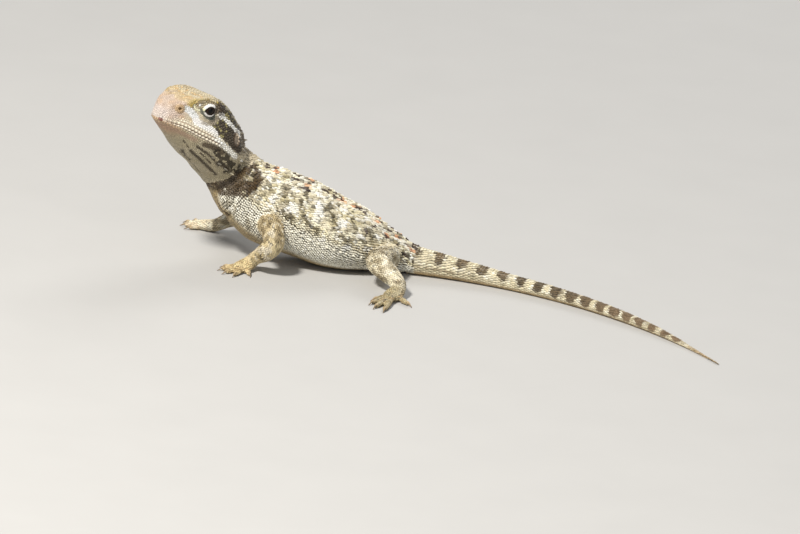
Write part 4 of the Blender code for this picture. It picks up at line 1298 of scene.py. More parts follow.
def hide_material(name, bump_size, bump_depth, roughness, coat):
    """Scaly hide: its colour is stored on the mesh, broken up by fine procedural grain."""
    made, tree, shader = new_material(
        name, {"Specular IOR Level": 0.35, "Coat Weight": coat, "Coat Roughness": 0.35}
    )
    links = tree.links
    colour = stored_colour(tree)
    where = tree.nodes.new("ShaderNodeTexCoord")
    grain = add_node(
        tree, "ShaderNodeTexNoise", {"Scale": 1 / (bump_size * MM), "Detail": 5.0, "Roughness": 0.6}
    )
    links.new(where.outputs["Object"], grain.inputs["Vector"])
    span = {"From Min": 0.3, "From Max": 0.7, "To Min": 0.78, "To Max": 1.14}
    tint = add_node(tree, "ShaderNodeMapRange", span)
    links.new(grain.outputs["Fac"], tint.inputs["Value"])
    shade = tree.nodes.new("ShaderNodeVectorMath")
    shade.operation = "SCALE"
    links.new(colour, shade.inputs[0])
    links.new(tint.outputs["Result"], shade.inputs["Scale"])
    links.new(shade.outputs["Vector"], shader.inputs["Base Color"])
    span = {"To Min": roughness - 0.12, "To Max": roughness + 0.14}
    polish = add_node(tree, "ShaderNodeMapRange", span)
    links.new(grain.outputs["Fac"], polish.inputs["Value"])
    links.new(polish.outputs["Result"], shader.inputs["Roughness"])
    bump = add_node(tree, "ShaderNodeBump", {"Strength": 0.7, "Distance": bump_depth * MM})
    links.new(grain.outputs["Fac"], bump.inputs["Height"])
    links.new(bump.outputs["Normal"], shader.inputs["Normal"])
    return made


def eye_material():
    made, tree, shader = new_material("wet_eye", {
        "Roughness": 0.12, "IOR": 1.38, "Specular IOR Level": 0.22,
        "Coat Weight": 0.12, "Coat Roughness": 0.03,
    })
    tree.links.new(stored_colour(tree), shader.inputs["Base Color"])
    return made


def floor_material(colour, roughness, speckle, size):
    """Even, faintly speckled grey."""
    made, tree, shader = new_material("floor", {"Roughness": roughness})
    where = tree.nodes.new("ShaderNodeTexCoord")
    grain = add_node(tree, "ShaderNodeTexNoise", {"Scale": 1 / size, "Detail": 4.0})
    tree.links.new(where.outputs["Object"], grain.inputs["Vector"])
    greys = tree.nodes.new("ShaderNodeValToRGB")
    for element, share in zip(greys.color_ramp.elements, (1 - speckle, 1 + speckle)):
        element.color = (*np.minimum(np.array(colour) * share, 1), 1)
    tree.links.new(grain.outputs["Fac"], greys.inputs["Fac"])
    tree.links.new(greys.outputs["Color"], shader.inputs["Base Color"])
    return made


# ---- building the pieces


def row_frame_shift():
    low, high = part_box("eye_left")
    centre = np.array((low + high) / 2) / MM
    return centre - head_point(*CAD_EYE)


def mesh_object(name, points, loops, sizes, colours, made):
    """A smooth object in the row frame, from design points and one run of the faces' corners."""
    mesh = bpy.data.meshes.new(name)
    mesh.vertices.add(len(points))
    mesh.loops.add(len(loops))
    mesh.polygons.add(len(sizes))
    mesh.vertices.foreach_set("co", ((points + SHIFT) * MM).astype(np.float32).ravel())
    mesh.loops.foreach_set("vertex_index", np.asarray(loops, np.int32))
    starts = np.concatenate([[0], np.cumsum(sizes)[:-1]]).astype(np.int32)
    mesh.polygons.foreach_set("loop_start", starts)
    mesh.update(calc_edges=True)
    mesh.validate()
    layer = mesh.color_attributes.new("markings", "FLOAT_COLOR", "POINT")
    data = np.concatenate([colours, np.ones((len(colours), 1))], axis=1)
    layer.data.foreach_set("color", data.astype(np.float32).ravel())
    mesh.materials.append(made)
    mesh.shade_smooth()
    return link(mesh, name)


def faces_object(name, points, faces, colours, made):
    loops = np.concatenate([np.array(f) for f in faces])
    return mesh_object(name, points, loops, [len(f) for f in faces], colours, made)


def make_skin(made):
    points, quads = skin_mesh()
    ends, degree = edges_of(quads)

    def eased(points, rates):
        for rate in rates:
            points = points + rate * (mean_of_neighbours(points, ends, degree) - points)
        return points

    def soft_normals(points, rounds):
        normals = normals_of(points, quads)
        for _ in range(rounds):
            normals = unit(0.3 * normals + 0.7 * mean_of_neighbours(normals, ends, degree))
        return normals

    points = eased(points, (0.5, -0.52) * 4)
    part, station, angle, margin = places(points)
    joint = bell(margin, 1.1) * (part != HEAD)
    joint += 0.7 * bell(margin, 0.8) * (part == HEAD)
    joint = joint[:, None] * 0.6
    points = eased(points, [joint] * 14)
    points = relief(points, soft_normals(points, 3), part, station, angle)
    top = points[:, 2].max()
    points[:, 2] -= CROWN_SINK * ramp(top - 2.5, top, points[:, 2])
    points = eased(points, (0.3, 0.3))
    points[:, 2] = np.maximum(points[:, 2], 0.0)
    colours = markings(points, part, station, angle)
    # The bare skin under the scales is darkened as painted shade in the gaps between them: darkest
    # on the flanks, less on the head, least on the snout
    flank = (part == BODY) * ramp(66, 84, abs(angle)) * ramp(136, 126, abs(angle))
    face = (part == HEAD) * ramp(10.5, 8.0, head_local(points)[:, 0])
    colours *= (0.4 + 0.25 * (part == HEAD) + 0.15 * face)[:, None]
    colours = paint(colours, tone(66, 55, 38), 0.9 * flank)
    skin = mesh_object("skin", points, quads.ravel(), np.full(len(quads), 4), colours, made)
    return skin, Surface(points, quads, soft_normals(points, 4), part)


# One overlapping scale: its outline as (across, backwards), and the two ends of its keel
SCALE_OUTLINE = np.array((
    (0, -0.5), (0.34, -0.38), (0.5, -0.05), (0.4, 0.3),
    (0, 0.64), (-0.4, 0.3), (-0.5, -0.05), (-0.34, -0.38),
))
SCALE_KEEL = np.array(((0, -0.28), (0, 0.42)))
SCALE_FACES = (
    [tuple(range(7, -1, -1))]
    + [(k, (k + 1) % 8, 8 + (k + 1) % 8, 8 + k) for k in range(8)]
    + [(8, 9, 16), (9, 10, 16), (10, 17, 16), (10, 11, 17), (11, 12, 17)]
    + [(12, 13, 17), (13, 14, 17), (14, 16, 17), (14, 15, 16), (15, 8, 16)]
)
# Colour factors of a scale's points: painted shade low on the sides and base, lighter where the
# rear edge lifts, and a painted highlight on the keel's raised end
SCALE_PAINTED_LIGHT = np.array((*[0.3] * 8, 0.6, 0.58, 0.57, 0.75, 1.0, 0.75, 0.57, 0.58, 1.0, 1.25))
SCALE_EDGE = (0.0, 0.01, 0.03, 0.06, 0.09, 0.06, 0.03, 0.01)  # height along the upper edge
ROOT_DEPTH = 0.16


def scale_points(roots, normals, backs, widths, lengths, heights, lifts):
    """Vertices of every scale: 8 sunk in the skin, 8 along the upper edge, and 2 on the keel."""
    backs = unit(backs - normals * np.sum(backs * normals, axis=1, keepdims=True))
    across = np.cross(normals, backs)

    def at(flat, high):
        flat = np.asarray(flat, float)
        return (
            roots[:, None]
            + (widths[:, None] * flat[None, :, 0])[..., None] * across[:, None]
            + (lengths[:, None] * flat[None, :, 1])[..., None] * backs[:, None]
            + high[..., None] * normals[:, None]
        )

    sunk = np.full((len(roots), 8), -ROOT_DEPTH)
    edge = np.tile(SCALE_EDGE, (len(roots), 1))
    edge[:, 4] += lifts
    edge[:, 3] += 0.35 * lifts
    edge[:, 5] += 0.35 * lifts
    keel = np.stack([0.7 * heights, heights + 0.6 * lifts], axis=1)
    levels = ((SCALE_OUTLINE * 0.9, sunk), (SCALE_OUTLINE, edge), (SCALE_KEEL, keel))
    return np.concatenate([at(*level) for level in levels], axis=1)


PEBBLE_SIDES = 8
PEBBLE_FACES = (
    [tuple(range(PEBBLE_SIDES - 1, -1, -1))]
    + [(k, (k + 1) % 8, 8 + (k + 1) % 8, 8 + k) for k in range(8)]
    + [(8 + k, 8 + (k + 1) % 8, 16 + (k + 1) % 8, 16 + k) for k in range(8)]
    + [(16 + k, 16 + (k + 1) % 8, 24) for k in range(8)]
)
# Colour factors of a rounded scale's rings: painted shade on the sunk base and the rim, and a
# painted highlight on the top
PEBBLE_PAINTED_LIGHT = np.array((*[0.45] * 8, *[0.7] * 8, *[0.98] * 8, 1.06))

# Columns of a rounded scale's row, where NaN stands for the markings' colour and for no edge
ROOT, NORMAL, SIZE, HEIGHT, KEEL = slice(0, 3), slice(3, 6), 6, 7, 8
COLOUR, EDGE, FREE = slice(9, 12), slice(12, 15), 15


class Surface:
    """The skin that scales grow on."""

    def __init__(self, points, quads, normals, part):
        self.points, self.quads, self.normals, self.part = points, quads, normals, part
        self.tree = BVHTree.FromPolygons(points.tolist(), quads.tolist())

    def normal(self, face):
        return self.normals[self.quads[face]].mean(axis=0)


class Spacing:
    """Places that are taken, as (x, y, z, size), in cells of some millimetres."""

    def __init__(self, cell, reach):
        self.cell, self.reach, self.cells = cell, reach, {}

    def key(self, p):
        return tuple(int(c) for c in np.floor(p / self.cell))

    def note(self, p, size):
        self.cells.setdefault(self.key(p), []).append((*p, size))

    def takes(self, p, size):
        """Notes a place and says so, unless it lies too near another."""
        x, y, z = self.key(p)
        for dx, dy, dz in itertools.product((-1, 0, 1), repeat=3):
            for qx, qy, qz, other in self.cells.get((x + dx, y + dy, z + dz), ()):
                reach = self.reach * (size + other)
                if (p[0] - qx) ** 2 + (p[1] - qy) ** 2 + (p[2] - qz) ** 2 < reach * reach:
                    return False
        self.note(p, size)
        return True


def tree_of(points):
    tree = KDTree(len(points))
    for k, p in enumerate(points):
        tree.insert(p, k)
    tree.balance()
    return tree


class Pebbles:
    """Rounded scales that share out the skin between them, as large as their neighbours allow."""

    def __init__(self, surface):
        self.surface = surface
        self.groups = []
        self.spacing = Spacing(1.0, 0.4)

    def add(self, roots, normals, sizes, heights, keels, colours=None, edges=None, free=False):
        n = len(roots)
        blank = np.full((n, 3), np.nan)
        colours = blank if colours is None else colours
        edges = blank if edges is None else edges
        measures = [np.broadcast_to(v, n).astype(float) for v in (sizes, heights, keels)]
        columns = [roots, normals, *measures, colours, edges, np.full(n, free)]
        self.groups.append(np.column_stack(columns))
        if not free:
            for p, size in zip(roots, measures[0]):
                self.spacing.note(p, size)

    def on_skin(self, guides, within=1.5):
        """The skin's point and direction beside each guide point, and whether it is near enough."""
        roots, normals, good = [], [], []
        for guide in guides:
            root, _, face, away = self.surface.tree.find_nearest(Vector(guide))
            roots.append(root)
            normals.append(self.surface.normal(face))
            good.append(away < within)
        return np.array(roots), unit(normals), np.array(good)

    def scatter(self, points, normals, sizes, heights, keels, rng):
        """Keeps points, in random order, that lie clear of those kept before."""
        order = rng.permutation(len(points))
        kept = [i for i in order if self.spacing.takes(points[i], sizes[i])]
        self.add(points[kept], normals[kept], sizes[kept], heights[kept], keels[kept], free=True)

    def settle(self, rounds=3):
        """Lets the free scales push one another into even places."""
        rows = np.concatenate(self.groups)
        for _ in range(rounds):
            tree = tree_of(rows[:, ROOT])
            moved = rows[:, ROOT].copy()
            for k in np.flatnonzero(rows[:, FREE]):
                row = rows[k]
                push = np.zeros(3)
                for place, other, distance in tree.find_range(row[ROOT], 1.25 * row[SIZE]):
                    wanted = 0.53 * (row[SIZE] + rows[other, SIZE])
                    if other != k and 1e-6 < distance < wanted:
                        aside = (row[ROOT] - np.array(place)) / distance
                        push += aside * (wanted - distance) * 0.35
                root, _, face, _ = self.surface.tree.find_nearest(Vector(row[ROOT] + push))
                moved[k] = root
                rows[k, NORMAL] = unit(self.surface.normal(face))
            rows[:, ROOT] = moved
        return rows


def pebble_points(rows, backs):
    """Vertices of every rounded scale, its outline drawn half-way to its neighbours."""
    roots, normals, sizes, heights, keels = (rows[:, k] for k in (ROOT, NORMAL, SIZE, HEIGHT, KEEL))
    backs = unit(backs - normals * np.sum(backs * normals, axis=1, keepdims=True))
    across = np.cross(normals, backs)
    tree = tree_of(roots)
    turns = 2 * np.pi * np.arange(PEBBLE_SIDES) / PEBBLE_SIDES
    reach = np.tile(0.62 * sizes[:, None], (1, PEBBLE_SIDES))
    for k in range(len(rows)):
        near = [other for _, other, _ in tree.find_range(roots[k], 1.5 * sizes[k]) if other != k]
        away = roots[near] - roots[k]
        share = sizes[k] / (sizes[k] + sizes[near])
        if not np.isnan(rows[k, EDGE]).any():
            away = np.vstack([away, rows[k, EDGE]])
            share = np.append(share, 1.0)
        if not len(away):
            continue
        x, y = away @ across[k], away @ backs[k]
        flat = np.hypot(x, y)
        facing = np.cos(turns[:, None] - np.arctan2(y, x)[None])
        limit = np.where(facing > 0.2, (flat * share)[None] / np.maximum(facing, 0.2), 9)
        reach[k] = np.minimum(reach[k], 0.93 * limit.min(axis=1))
    reach = 0.25 * np.roll(reach, 1, axis=1) + 0.5 * reach + 0.25 * np.roll(reach, -1, axis=1)
    c, s = np.cos(turns)[None, :, None], np.sin(turns)[None, :, None]
    out = reach[..., None] * (c * across[:, None] + s * backs[:, None])
    lean = (keels * reach.mean(axis=1))[:, None, None] * backs[:, None]
    up = normals[:, None]
    high = heights[:, None, None]
    base = roots[:, None] + 0.97 * out - 0.15 * up
    rim = roots[:, None] + out + 0.22 * high * up
    upper = roots[:, None] + 0.66 * out + 0.35 * lean + 0.84 * high * up
    top = roots[:, None] + 0.8 * lean + (1 + 0.7 * keels[:, None, None]) * high * up
    flat_ring = np.stack([np.cos(turns), np.sin(turns)], axis=1) * 0.0015
    charts = np.concatenate([flat_ring, flat_ring, 0.6 * flat_ring, np.zeros((1, 2))])
    return np.concatenate([base, rim, upper, top], axis=1), charts


class Coat:
    """Overlapping scales gathered region by region, kept clear of one another."""

    def __init__(self, surface):
        self.surface = surface
        self.spacing = Spacing(0.8, 0.33)
        self.rows = []

    def add(self, guides, backs, sizes, charts, outwards, within=0.45):
        """Sets a scale on the skin beside each guide point, unless it is far off or one is there.

        The sizes are columns of width, length, height and lift.
        """
        for guide, back, size, place, outward in zip(guides, backs, sizes, charts, outwards):
            root, _, face, away = self.surface.tree.find_nearest(Vector(guide), 1.5)
            if root is None or away > within:
                continue
            root, normal = np.array(root), unit(self.surface.normal(face))
            if normal @ outward < 0.1 or (root[2] < BARE_BELOW and normal[2] < -0.2):
                continue
            if self.spacing.takes(root, size[0]):
                self.rows.append((*root, *normal, *back, *size, *place))

    def take(self):
        rows, self.rows = np.array(self.rows), []
        return rows


def scales_object(name, points, charts, faces, colours, made):
    """One mesh of many scales. Points, charts and colours have a row for each scale."""
    n, count = points.shape[:2]
    flat = points.reshape(-1, 3)
    flat[:, 2] = np.maximum(flat[:, 2], 0.0)
    corners = np.concatenate([np.array(f) for f in faces])
    sizes = np.tile([len(f) for f in faces], n)
    loops = (np.arange(n)[:, None] * count + corners[None]).ravel()
    obj = mesh_object(name, flat, loops, sizes, np.clip(colours, 0, 0.96).reshape(-1, 3), made)
    layer = obj.data.uv_layers.new(name="OFBake")
    vertex = np.zeros(len(obj.data.loops), np.int32)
    obj.data.loops.foreach_get("vertex_index", vertex)
    layer.data.foreach_set("uv", charts.reshape(-1, 2)[vertex].astype(np.float32).ravel())
    return obj


def coat_object(name, rows, made, rng):
    roots = rows[:, 0:3]
    points = scale_points(roots, rows[:, 3:6], rows[:, 6:9], *rows[:, 9:13].T)
    part, station, angle, _ = places(roots)
    colour = markings(roots, part, station, angle)
    n = len(rows)
    colour *= (1 + 0.11 * rng.standard_normal(n)).clip(0.65, 1.3)[:, None]
    flecked = (rng.random(n) < 0.055) & np.isin(part, (BODY, *LIMB_PARTS)) & (abs(angle) < 95)
    colour[flecked] = colour[flecked] * 0.42
    # Painted shade and painted highlight over each scale's points
    colours = colour[:, None] * SCALE_PAINTED_LIGHT[None, :, None]
    outline = np.concatenate([SCALE_OUTLINE, SCALE_OUTLINE, SCALE_KEEL]) * 0.003
    charts = rows[:, 13:15][:, None] + outline[None]
    obj = scales_object(name, points, charts, SCALE_FACES, colours, made)
    obj.data.set_sharp_from_angle(angle=math.radians(32))
    return obj


def pebble_object(name, rows, points, outline, made, rng):
    roots = rows[:, ROOT]
    colour = markings(roots, *places(roots)[:3])
    given = ~np.isnan(rows[:, COLOUR]).any(axis=1)
    colour[given] = rows[given, COLOUR]
    colour *= (1 + 0.09 * rng.standard_normal(len(rows))).clip(0.7, 1.25)[:, None]
    # Painted shade and painted highlight over each rounded scale's points
    colours = colour[:, None] * PEBBLE_PAINTED_LIGHT[None, :, None]
    local = head_local(roots)
    middle = (through(CROWN, local[:, 0]) + through(THROAT, local[:, 0]))[:, 0] / 2
    around = np.arctan2(local[:, 1], local[:, 2] - middle) / (2 * np.pi) + 0.5
    place = chart((0.02, 0.52, 0.48, 0.98), local[:, 0] / 27, around)
    return scales_object(name, points, place[:, None] + outline[None], PEBBLE_FACES, colours, made)


def chart(box, along, around):
    """Places on the unwrap: a rectangle of the map for one part."""
    low_u, low_v, high_u, high_v = box
    along, around = np.clip(along, 0, 1), np.clip(around, 0, 1)
    return np.stack([low_u + (high_u - low_u) * along, low_v + (high_v - low_v) * around], axis=1)


def pebble_size(local):
    """Size, height and keel of the scales on the head, by place."""
    b, u = local[:, 0], local[:, 2]
    over = u - through(MOUTH, b)[:, 0]
    crown = ramp(4.8, 6.6, u)
    size = 0.44 + 0.16 * crown * ramp(4, 8, b) + 0.04 * ramp(9, 12, b)
    high = 0.06 + 0.06 * crown * ramp(4, 8, b) + 0.02 * ramp(8, 12, b)
    cheek = ramp(0.6, 1.2, over) * ramp(5.2, 4.2, u)
    cheek = cheek * ramp(3.5, 5, b) * ramp(14.5, 13, b)
    size -= 0.08 * cheek
    high -= 0.025 * cheek
    temple = ramp(12.5, 15, b) * ramp(0.5, 1.5, over)
    size += 0.08 * temple
    high += 0.05 * temple
    below = ramp(-0.6, -1.4, over)
    size -= 0.1 * below
    high -= 0.035 * below
    rear = ramp(20, 23.5, b)
    keel = 0.25 * crown + 0.5 * temple + 0.35 * rear
    return size + 0.1 * rear, high + 0.05 * rear * (1 - below), keel


# Rows of lip scales: height off the mouth line, spacing and size
LIP_ROWS = (
    (0.43, 0.9, 0.78), (1.14, 0.74, 0.58), (1.68, 0.62, 0.5), (-0.36, 0.94, 0.72),
    (-1.02, 0.66, 0.52),
)
# Fine dark beads between them, painted shade in the gaps between the rows and along the mouth line:
# height off the mouth line, first and last place, colour
LIP_BEADS = (
    (-0.69, 2.5, 12.6, (104, 72, 50)), (0.02, 1.6, 15.6, (104, 72, 50)),
    (0.84, 4.4, 13.6, (170, 140, 110)),
)


def lip_guides(side, along, offset):
    """Places along the lips, some height off the mouth line."""
    for b in along:
        up = value(MOUTH, b) + offset * min(1.0, 0.55 + 0.05 * b + 0.25 * (offset > 0))
        yield head_point(b, side * (value(LIP_WIDTH, b) + 0.2), up)


def lip_rows(pebbles):
    """Rows of even scales along both lips. The first row of each leaves the mouth line open."""
    for side in SIDES:
        for offset, spacing, size in LIP_ROWS:
            last = MOUTH_END - 0.4 + 0.5 * (offset > 0)
            along = np.arange(0.25 + 0.3 * abs(offset), last, spacing)
            roots, normals, _ = pebbles.on_skin(lip_guides(side, along, offset))
            first = abs(offset) < 0.5
            toward = -np.sign(offset) * AXES[2] * (abs(offset) - 0.03)
            edges = np.tile(toward, (len(roots), 1)) if first else None
            pebbles.add(roots, normals, size, 0.14 if first else 0.09, 0.1, edges=edges)
        # Beads coloured as painted shade in the gaps between the lip rows and along the mouth line
        for offset, start, last, display in LIP_BEADS:
            along = np.arange(start, last, 0.27)
            roots, normals, _ = pebbles.on_skin(lip_guides(side, along, offset))
            pebbles.add(roots, normals, 0.2, 0.02, 0.0, colours=plain(display, roots))
        for offset in (0.3, -0.3):
            along = np.arange(12.9 + offset, 21.8, 0.66)
            ups = np.interp(along, *np.array(STRIPE).T) + offset
            guides = [
                head_point(b, side * (value(CHEEK_WIDTH, b) - 0.4), up) for b, up in zip(along, ups)
            ]
            roots, normals, good = pebbles.on_skin(guides, 3.0)
            pebbles.add(roots[good], normals[good], 0.68, 0.16, 0.5)


def lid_rows(pebbles):
    """Two rings of small scales on the lids."""
    for side in SIDES:
        frame_of_eye = eye_frame(side)
        for across, radius, spacing in ((0.42, 2.31, 0.3), (0.8, 2.33, 0.34)):
            turns = np.linspace(-np.pi, np.pi, int(10.5 / spacing), endpoint=False)
            inner, outer = lid_border(turns)
            arcs = inner + (outer - inner) * across
            wide = np.linalg.norm(outer - inner, axis=1)
            roots = on_eye(frame_of_eye, arcs, radius)
            normals = unit(roots - frame_of_eye[0])
            colours = lid_colour(turns, np.full(len(turns), across))
            pebbles.add(roots, normals, np.minimum(0.5 * wide, 0.4), 0.04, 0.0, colours=colours)


# Rings of small scales: middle, half length and height, how many, and their size
FEATURE_RINGS = (
    (NOSTRIL_AT, 0.62, 0.6, 10, 0.36),
    (NOSTRIL_AT, 1.02, 0.98, 13, 0.44),
    (EAR_AT, 1.1, 1.42, 18, 0.44),
)


def rings_of_pebbles(pebbles):
    """Even rings of small scales round the nostrils and ears."""
    for side in SIDES:
        for (back, out, up), long, high, count, size in FEATURE_RINGS:
            guides = [
                head_point(back + long * math.cos(t), side * (out + 0.3), up + high * math.sin(t))
                for t in 2 * np.pi * np.arange(count) / count
            ]
            roots, normals, good = pebbles.on_skin(guides)
            pebbles.add(roots[good], normals[good], size, 0.09, 0.0)


def free_of_features(points, local):
    """Where scattered scales may stand: off the eyes, nostrils, ears and the mouth line."""
    free = np.ones(len(points), bool)
    for side in SIDES:
        arcs, distance = eye_arcs(eye_frame(side), points)
        near = (distance < 3.4) & (np.linalg.norm(arcs, axis=1) < 3.2)
        free &= ~(near & (lid_share(arcs) < 1.25))
        for at, size in ((NOSTRIL_AT, (0.75, 0.75, 0.75)), (EAR_AT, (1.1, 2.0, 1.42))):
            free &= np.linalg.norm((local - mirrored(at, side)) / size, axis=1) > 1
    mouth = through(MOUTH, local[:, 0])[:, 0]
    return free & ~((abs(local[:, 2] - mouth) < 0.35) & (local[:, 0] < MOUTH_END))


def head_scales(surface, made, rng):
    """The head's coat, in two pieces, with the places its scales take."""
    pebbles = Pebbles(surface)
    points = surface.points
    lip_rows(pebbles)
    lid_rows(pebbles)
    rings_of_pebbles(pebbles)
    chosen = np.flatnonzero(surface.part == HEAD)
    local = head_local(points[chosen])
    good = free_of_features(points[chosen], local) & (local[:, 0] < 25.6)
    chosen, local = chosen[good], local[good]
    sizes, heights, keels = pebble_size(local)
    sizes = sizes * (0.9 + 0.25 * noise(points[chosen], 1.1, 81))
    pebbles.scatter(points[chosen], surface.normals[chosen], sizes, heights, keels, rng)
    rows = pebbles.settle()
    spiky = rng.random(len(rows)) < 0.3
    rows[:, KEEL] *= np.where(spiky & (rows[:, FREE] > 0), 2.2, 1.0)
    backs = np.broadcast_to(AXES[0], (len(rows), 3))
    shapes, outline = pebble_points(rows, backs)
    front = head_local(rows[:, ROOT])[:, 0] < 11.5
    pieces = [
        pebble_object(name, rows[pick], shapes[pick], outline, made, rng)
        for name, pick in (("scales_face", front), ("scales_jaw", ~front))
    ]
    return pieces, rows[:, ROOT], rows[:, SIZE]


def ring_scales(coat, rings, stations, rows, tangents, pitch, box, shape, jitter, rng, down_to=181):
    """Staggered rows of scales over section rings, down to some degrees from the top."""
    for r, (ring, tangent) in enumerate(zip(rings, tangents)):
        closed = np.vstack([ring, ring[:1]])
        steps = np.linalg.norm(np.diff(closed, axis=0), axis=1)
        length = np.concatenate([[0], np.cumsum(steps)])
        per_side = max(2, int(round(length[-1] / 2 / pitch)))
        share = (np.arange(2 * per_side) + 0.5 * (r % 2)) / (2 * per_side)
        at = ((share + TOP_SHARE) % 1.0) * length[-1]
        guides = np.stack([np.interp(at, length, closed[:, k]) for k in range(3)], axis=1)
        guides = guides + rng.normal(0, jitter, guides.shape)
        around = abs(((share + 0.5) % 1.0) - 0.5) * 360
        sizes = np.stack(shape(stations[r], around, rng), axis=1)
        backs = np.broadcast_to(tangent, guides.shape)
        charts = chart(box, np.full(len(guides), rows[r]), share)
        outwards = unit(guides - ring.mean(axis=0))
        keep = around < down_to
        coat.add(guides[keep], backs[keep], sizes[keep], charts[keep], outwards[keep])


def fill_gaps(coat, chosen, gap):
    """Sets a scale like its neighbour wherever rows spread by a bend leave the skin bare."""
    tree = tree_of([row[:3] for row in coat.rows])
    surface = coat.surface
    for p, normal in zip(surface.points[chosen], surface.normals[chosen]):
        _, k, away = tree.find(p)
        like = coat.rows[k]
        if not gap * like[9] < away < 1.5 or p[2] < BARE_BELOW:
            continue
        if normal @ np.array(like[3:6]) >= 0.3 and coat.spacing.takes(p, like[9]):
            coat.rows.append((*p, *normal, *like[6:]))


def along_path(places, step):
    """Path positions a given step of millimetres apart."""
    dense = np.linspace(0, len(places) - 1, 2000)
    steps = np.linalg.norm(np.diff(curve_through(places, dense), axis=0), axis=1)
    run = np.concatenate([[0], np.cumsum(steps)])
    return np.interp(np.arange(0, run[-1], step), run, dense)


def trunk_shape(station, around, rng):
    n = len(around)
    back = ramp(80, 40, around)
    belly = ramp(118, 138, around)
    flank = ramp(66, 84, around) * ramp(136, 124, around)
    neck = float(ramp(-19.5, -22.0, station))
    wide = (0.63 - 0.04 * neck) * (1 + 0.06 * back - 0.14 * flank) * rng.uniform(0.92, 1.08, n)
    long = wide * (1.28 - 0.08 * belly - 0.16 * flank)
    high = (0.22 + 0.04 * back + 0.02 * flank) * (1 - 0.6 * belly) * rng.uniform(0.75, 1.25, n)
    chance = 0.12 + 0.1 * back * (around < 60) + 0.25 * (around < 22) + 0.2 * neck
    spiny = (rng.random(n) < chance * (1 - flank)) & (around < 100)
    lift = np.where(spiny, 0.3, 0.05 + 0.05 * flank) * (1 - belly)
    wide = np.where(spiny, wide * 1.3, wide)
    long = np.where(spiny, long * 1.35, long)
    high = np.where(spiny, high * 1.6, high)
    return wide, long, high, lift


def tail_shape(station, around, rng):
    n = len(around)
    size = float(np.interp(station, (0, 0.3, 0.8, 1), (0.68, 0.56, 0.4, 0.3)))
    belly = ramp(110, 130, around)
    wide = size * rng.uniform(0.94, 1.06, n)
    long = wide * 1.6
    high = size * 0.3 * (1 - 0.5 * belly) * rng.uniform(0.85, 1.15, n)
    lift = size * np.where((around < 60) & (rng.random(n) < 0.5), 0.4, 0.15) * (1 - belly)
    return wide, long, high, lift


PALM_SCALES_FROM = 5.2  # station of a limb where its scales become finer


def limb_shape(station, around, rng):
    n = len(around)
    wide = (0.57 if station < PALM_SCALES_FROM else 0.46) * rng.uniform(0.9, 1.1, n)
    long = wide * 1.3
    high = 0.15 * rng.uniform(0.8, 1.2, n)
    lift = np.where((rng.random(n) < 0.2) & (around < 100) & (station < 5), 0.22, 0.05)
    return wide, long, high * (0.16 if station < PALM_SCALES_FROM else 0.1) / 0.15, lift


def digit_shape(station, around, rng):
    n = len(around)
    wide = 0.46 * rng.uniform(0.95, 1.05, n)
    return wide, wide * 1.15, np.full(n, 0.08), np.full(n, 0.02)


# Share of a section ring, from its first point, where its top lies
TOP_SHARE = 0.25
# Corners of the unwrap for each part
TRUNK_CHART = (0.02, 0.02, 0.98, 0.48)
TAIL_CHART = (0.52, 0.52, 0.98, 0.64)
# Share of the tail and the space between its rows, then from share to share and pitch in the rows
TAIL_STEPS = ((0, 0.7), (0.3, 0.62), (0.8, 0.46), (1, 0.36))
TAIL_PITCHES = ((0, 0.2, 0.7), (0.2, 0.5, 0.6), (0.5, 0.8, 0.5), (0.8, 1.01, 0.38))
NECK_END = -20.5
BACK_EDGE = 80  # degrees from the top, where the back's piece ends


def trunk_scales(coat, rng):
    whole = along_path([row[0] for row in TRUNK], 0.1)
    neck_end = np.searchsorted(trunk_frames(whole)[0][:, 0], NECK_END)
    for at, pitch in ((whole[:neck_end:5], 0.58), (whole[neck_end::5], 0.62)):
        centres, tangents, _, _ = trunk_frames(at)
        rings = trunk_rings(at, oval(96, TRUNK_SQUARE))
        stations = centres[:, 0]
        ring_scales(
            coat, rings, stations, at / 8, tangents, pitch, TRUNK_CHART, trunk_shape, 0.04, rng
        )
    fill_gaps(coat, rng.permutation(np.flatnonzero(coat.surface.part == BODY)), 0.84)
    return coat.take()


def tail_scales(coat, rng):
    shares = [0.004]
    while shares[-1] < 0.985:
        step = float(np.interp(shares[-1], *np.array(TAIL_STEPS).T))
        shares.append(shares[-1] + step / TAIL_LENGTH)
    shares = np.array(shares)
    tangents, rings = tail_frames(shares)[1], tail_rings(shares, oval(48, 2.0))
    for start, stop, pitch in TAIL_PITCHES:
        pick = np.flatnonzero((shares >= start) & (shares < stop))
        at = shares[pick]
        ring_scales(
            coat, rings[pick], at, at, tangents[pick], pitch, TAIL_CHART, tail_shape, 0.02, rng
        )
    return coat.take()


def limb_scales(coat, k, station, rng):
    """Scales of limb k and its digits, left in the coat."""
    limb = LIMBS[k]
    at = along_path([row[0] for row in limb[0]], 0.47)
    tangents, rings = limb_frames(limb[0], at)[1], limb_rings(limb[0], at, oval(48, 2.0))
    low = 0.66 + 0.08 * k
    box = (0.52, low, 0.98, low + 0.075)
    ring_scales(coat, rings, at, 0.75 * at / 8, tangents, 0.56, box, limb_shape, 0.035, rng)
    bare = np.flatnonzero((coat.surface.part == LIMB_PARTS[k]) & (station < PALM_SCALES_FROM))
    fill_gaps(coat, rng.permutation(bare), 0.6)
    for j, (middle, forward, reach, radius) in enumerate(digits_of(limb)):
        share = np.arange(0.2, 0.98, 0.44 / reach)
        rings = digit_rings(middle, forward, reach, radius, share, oval(32, 2.0))
        tangents = np.broadcast_to(forward, (len(share), 3))
        rows = 0.77 + 0.045 * (j + share)
        ring_scales(
            coat, rings, share, rows, tangents, 0.46, box, digit_shape, 0.015, rng, down_to=125
        )


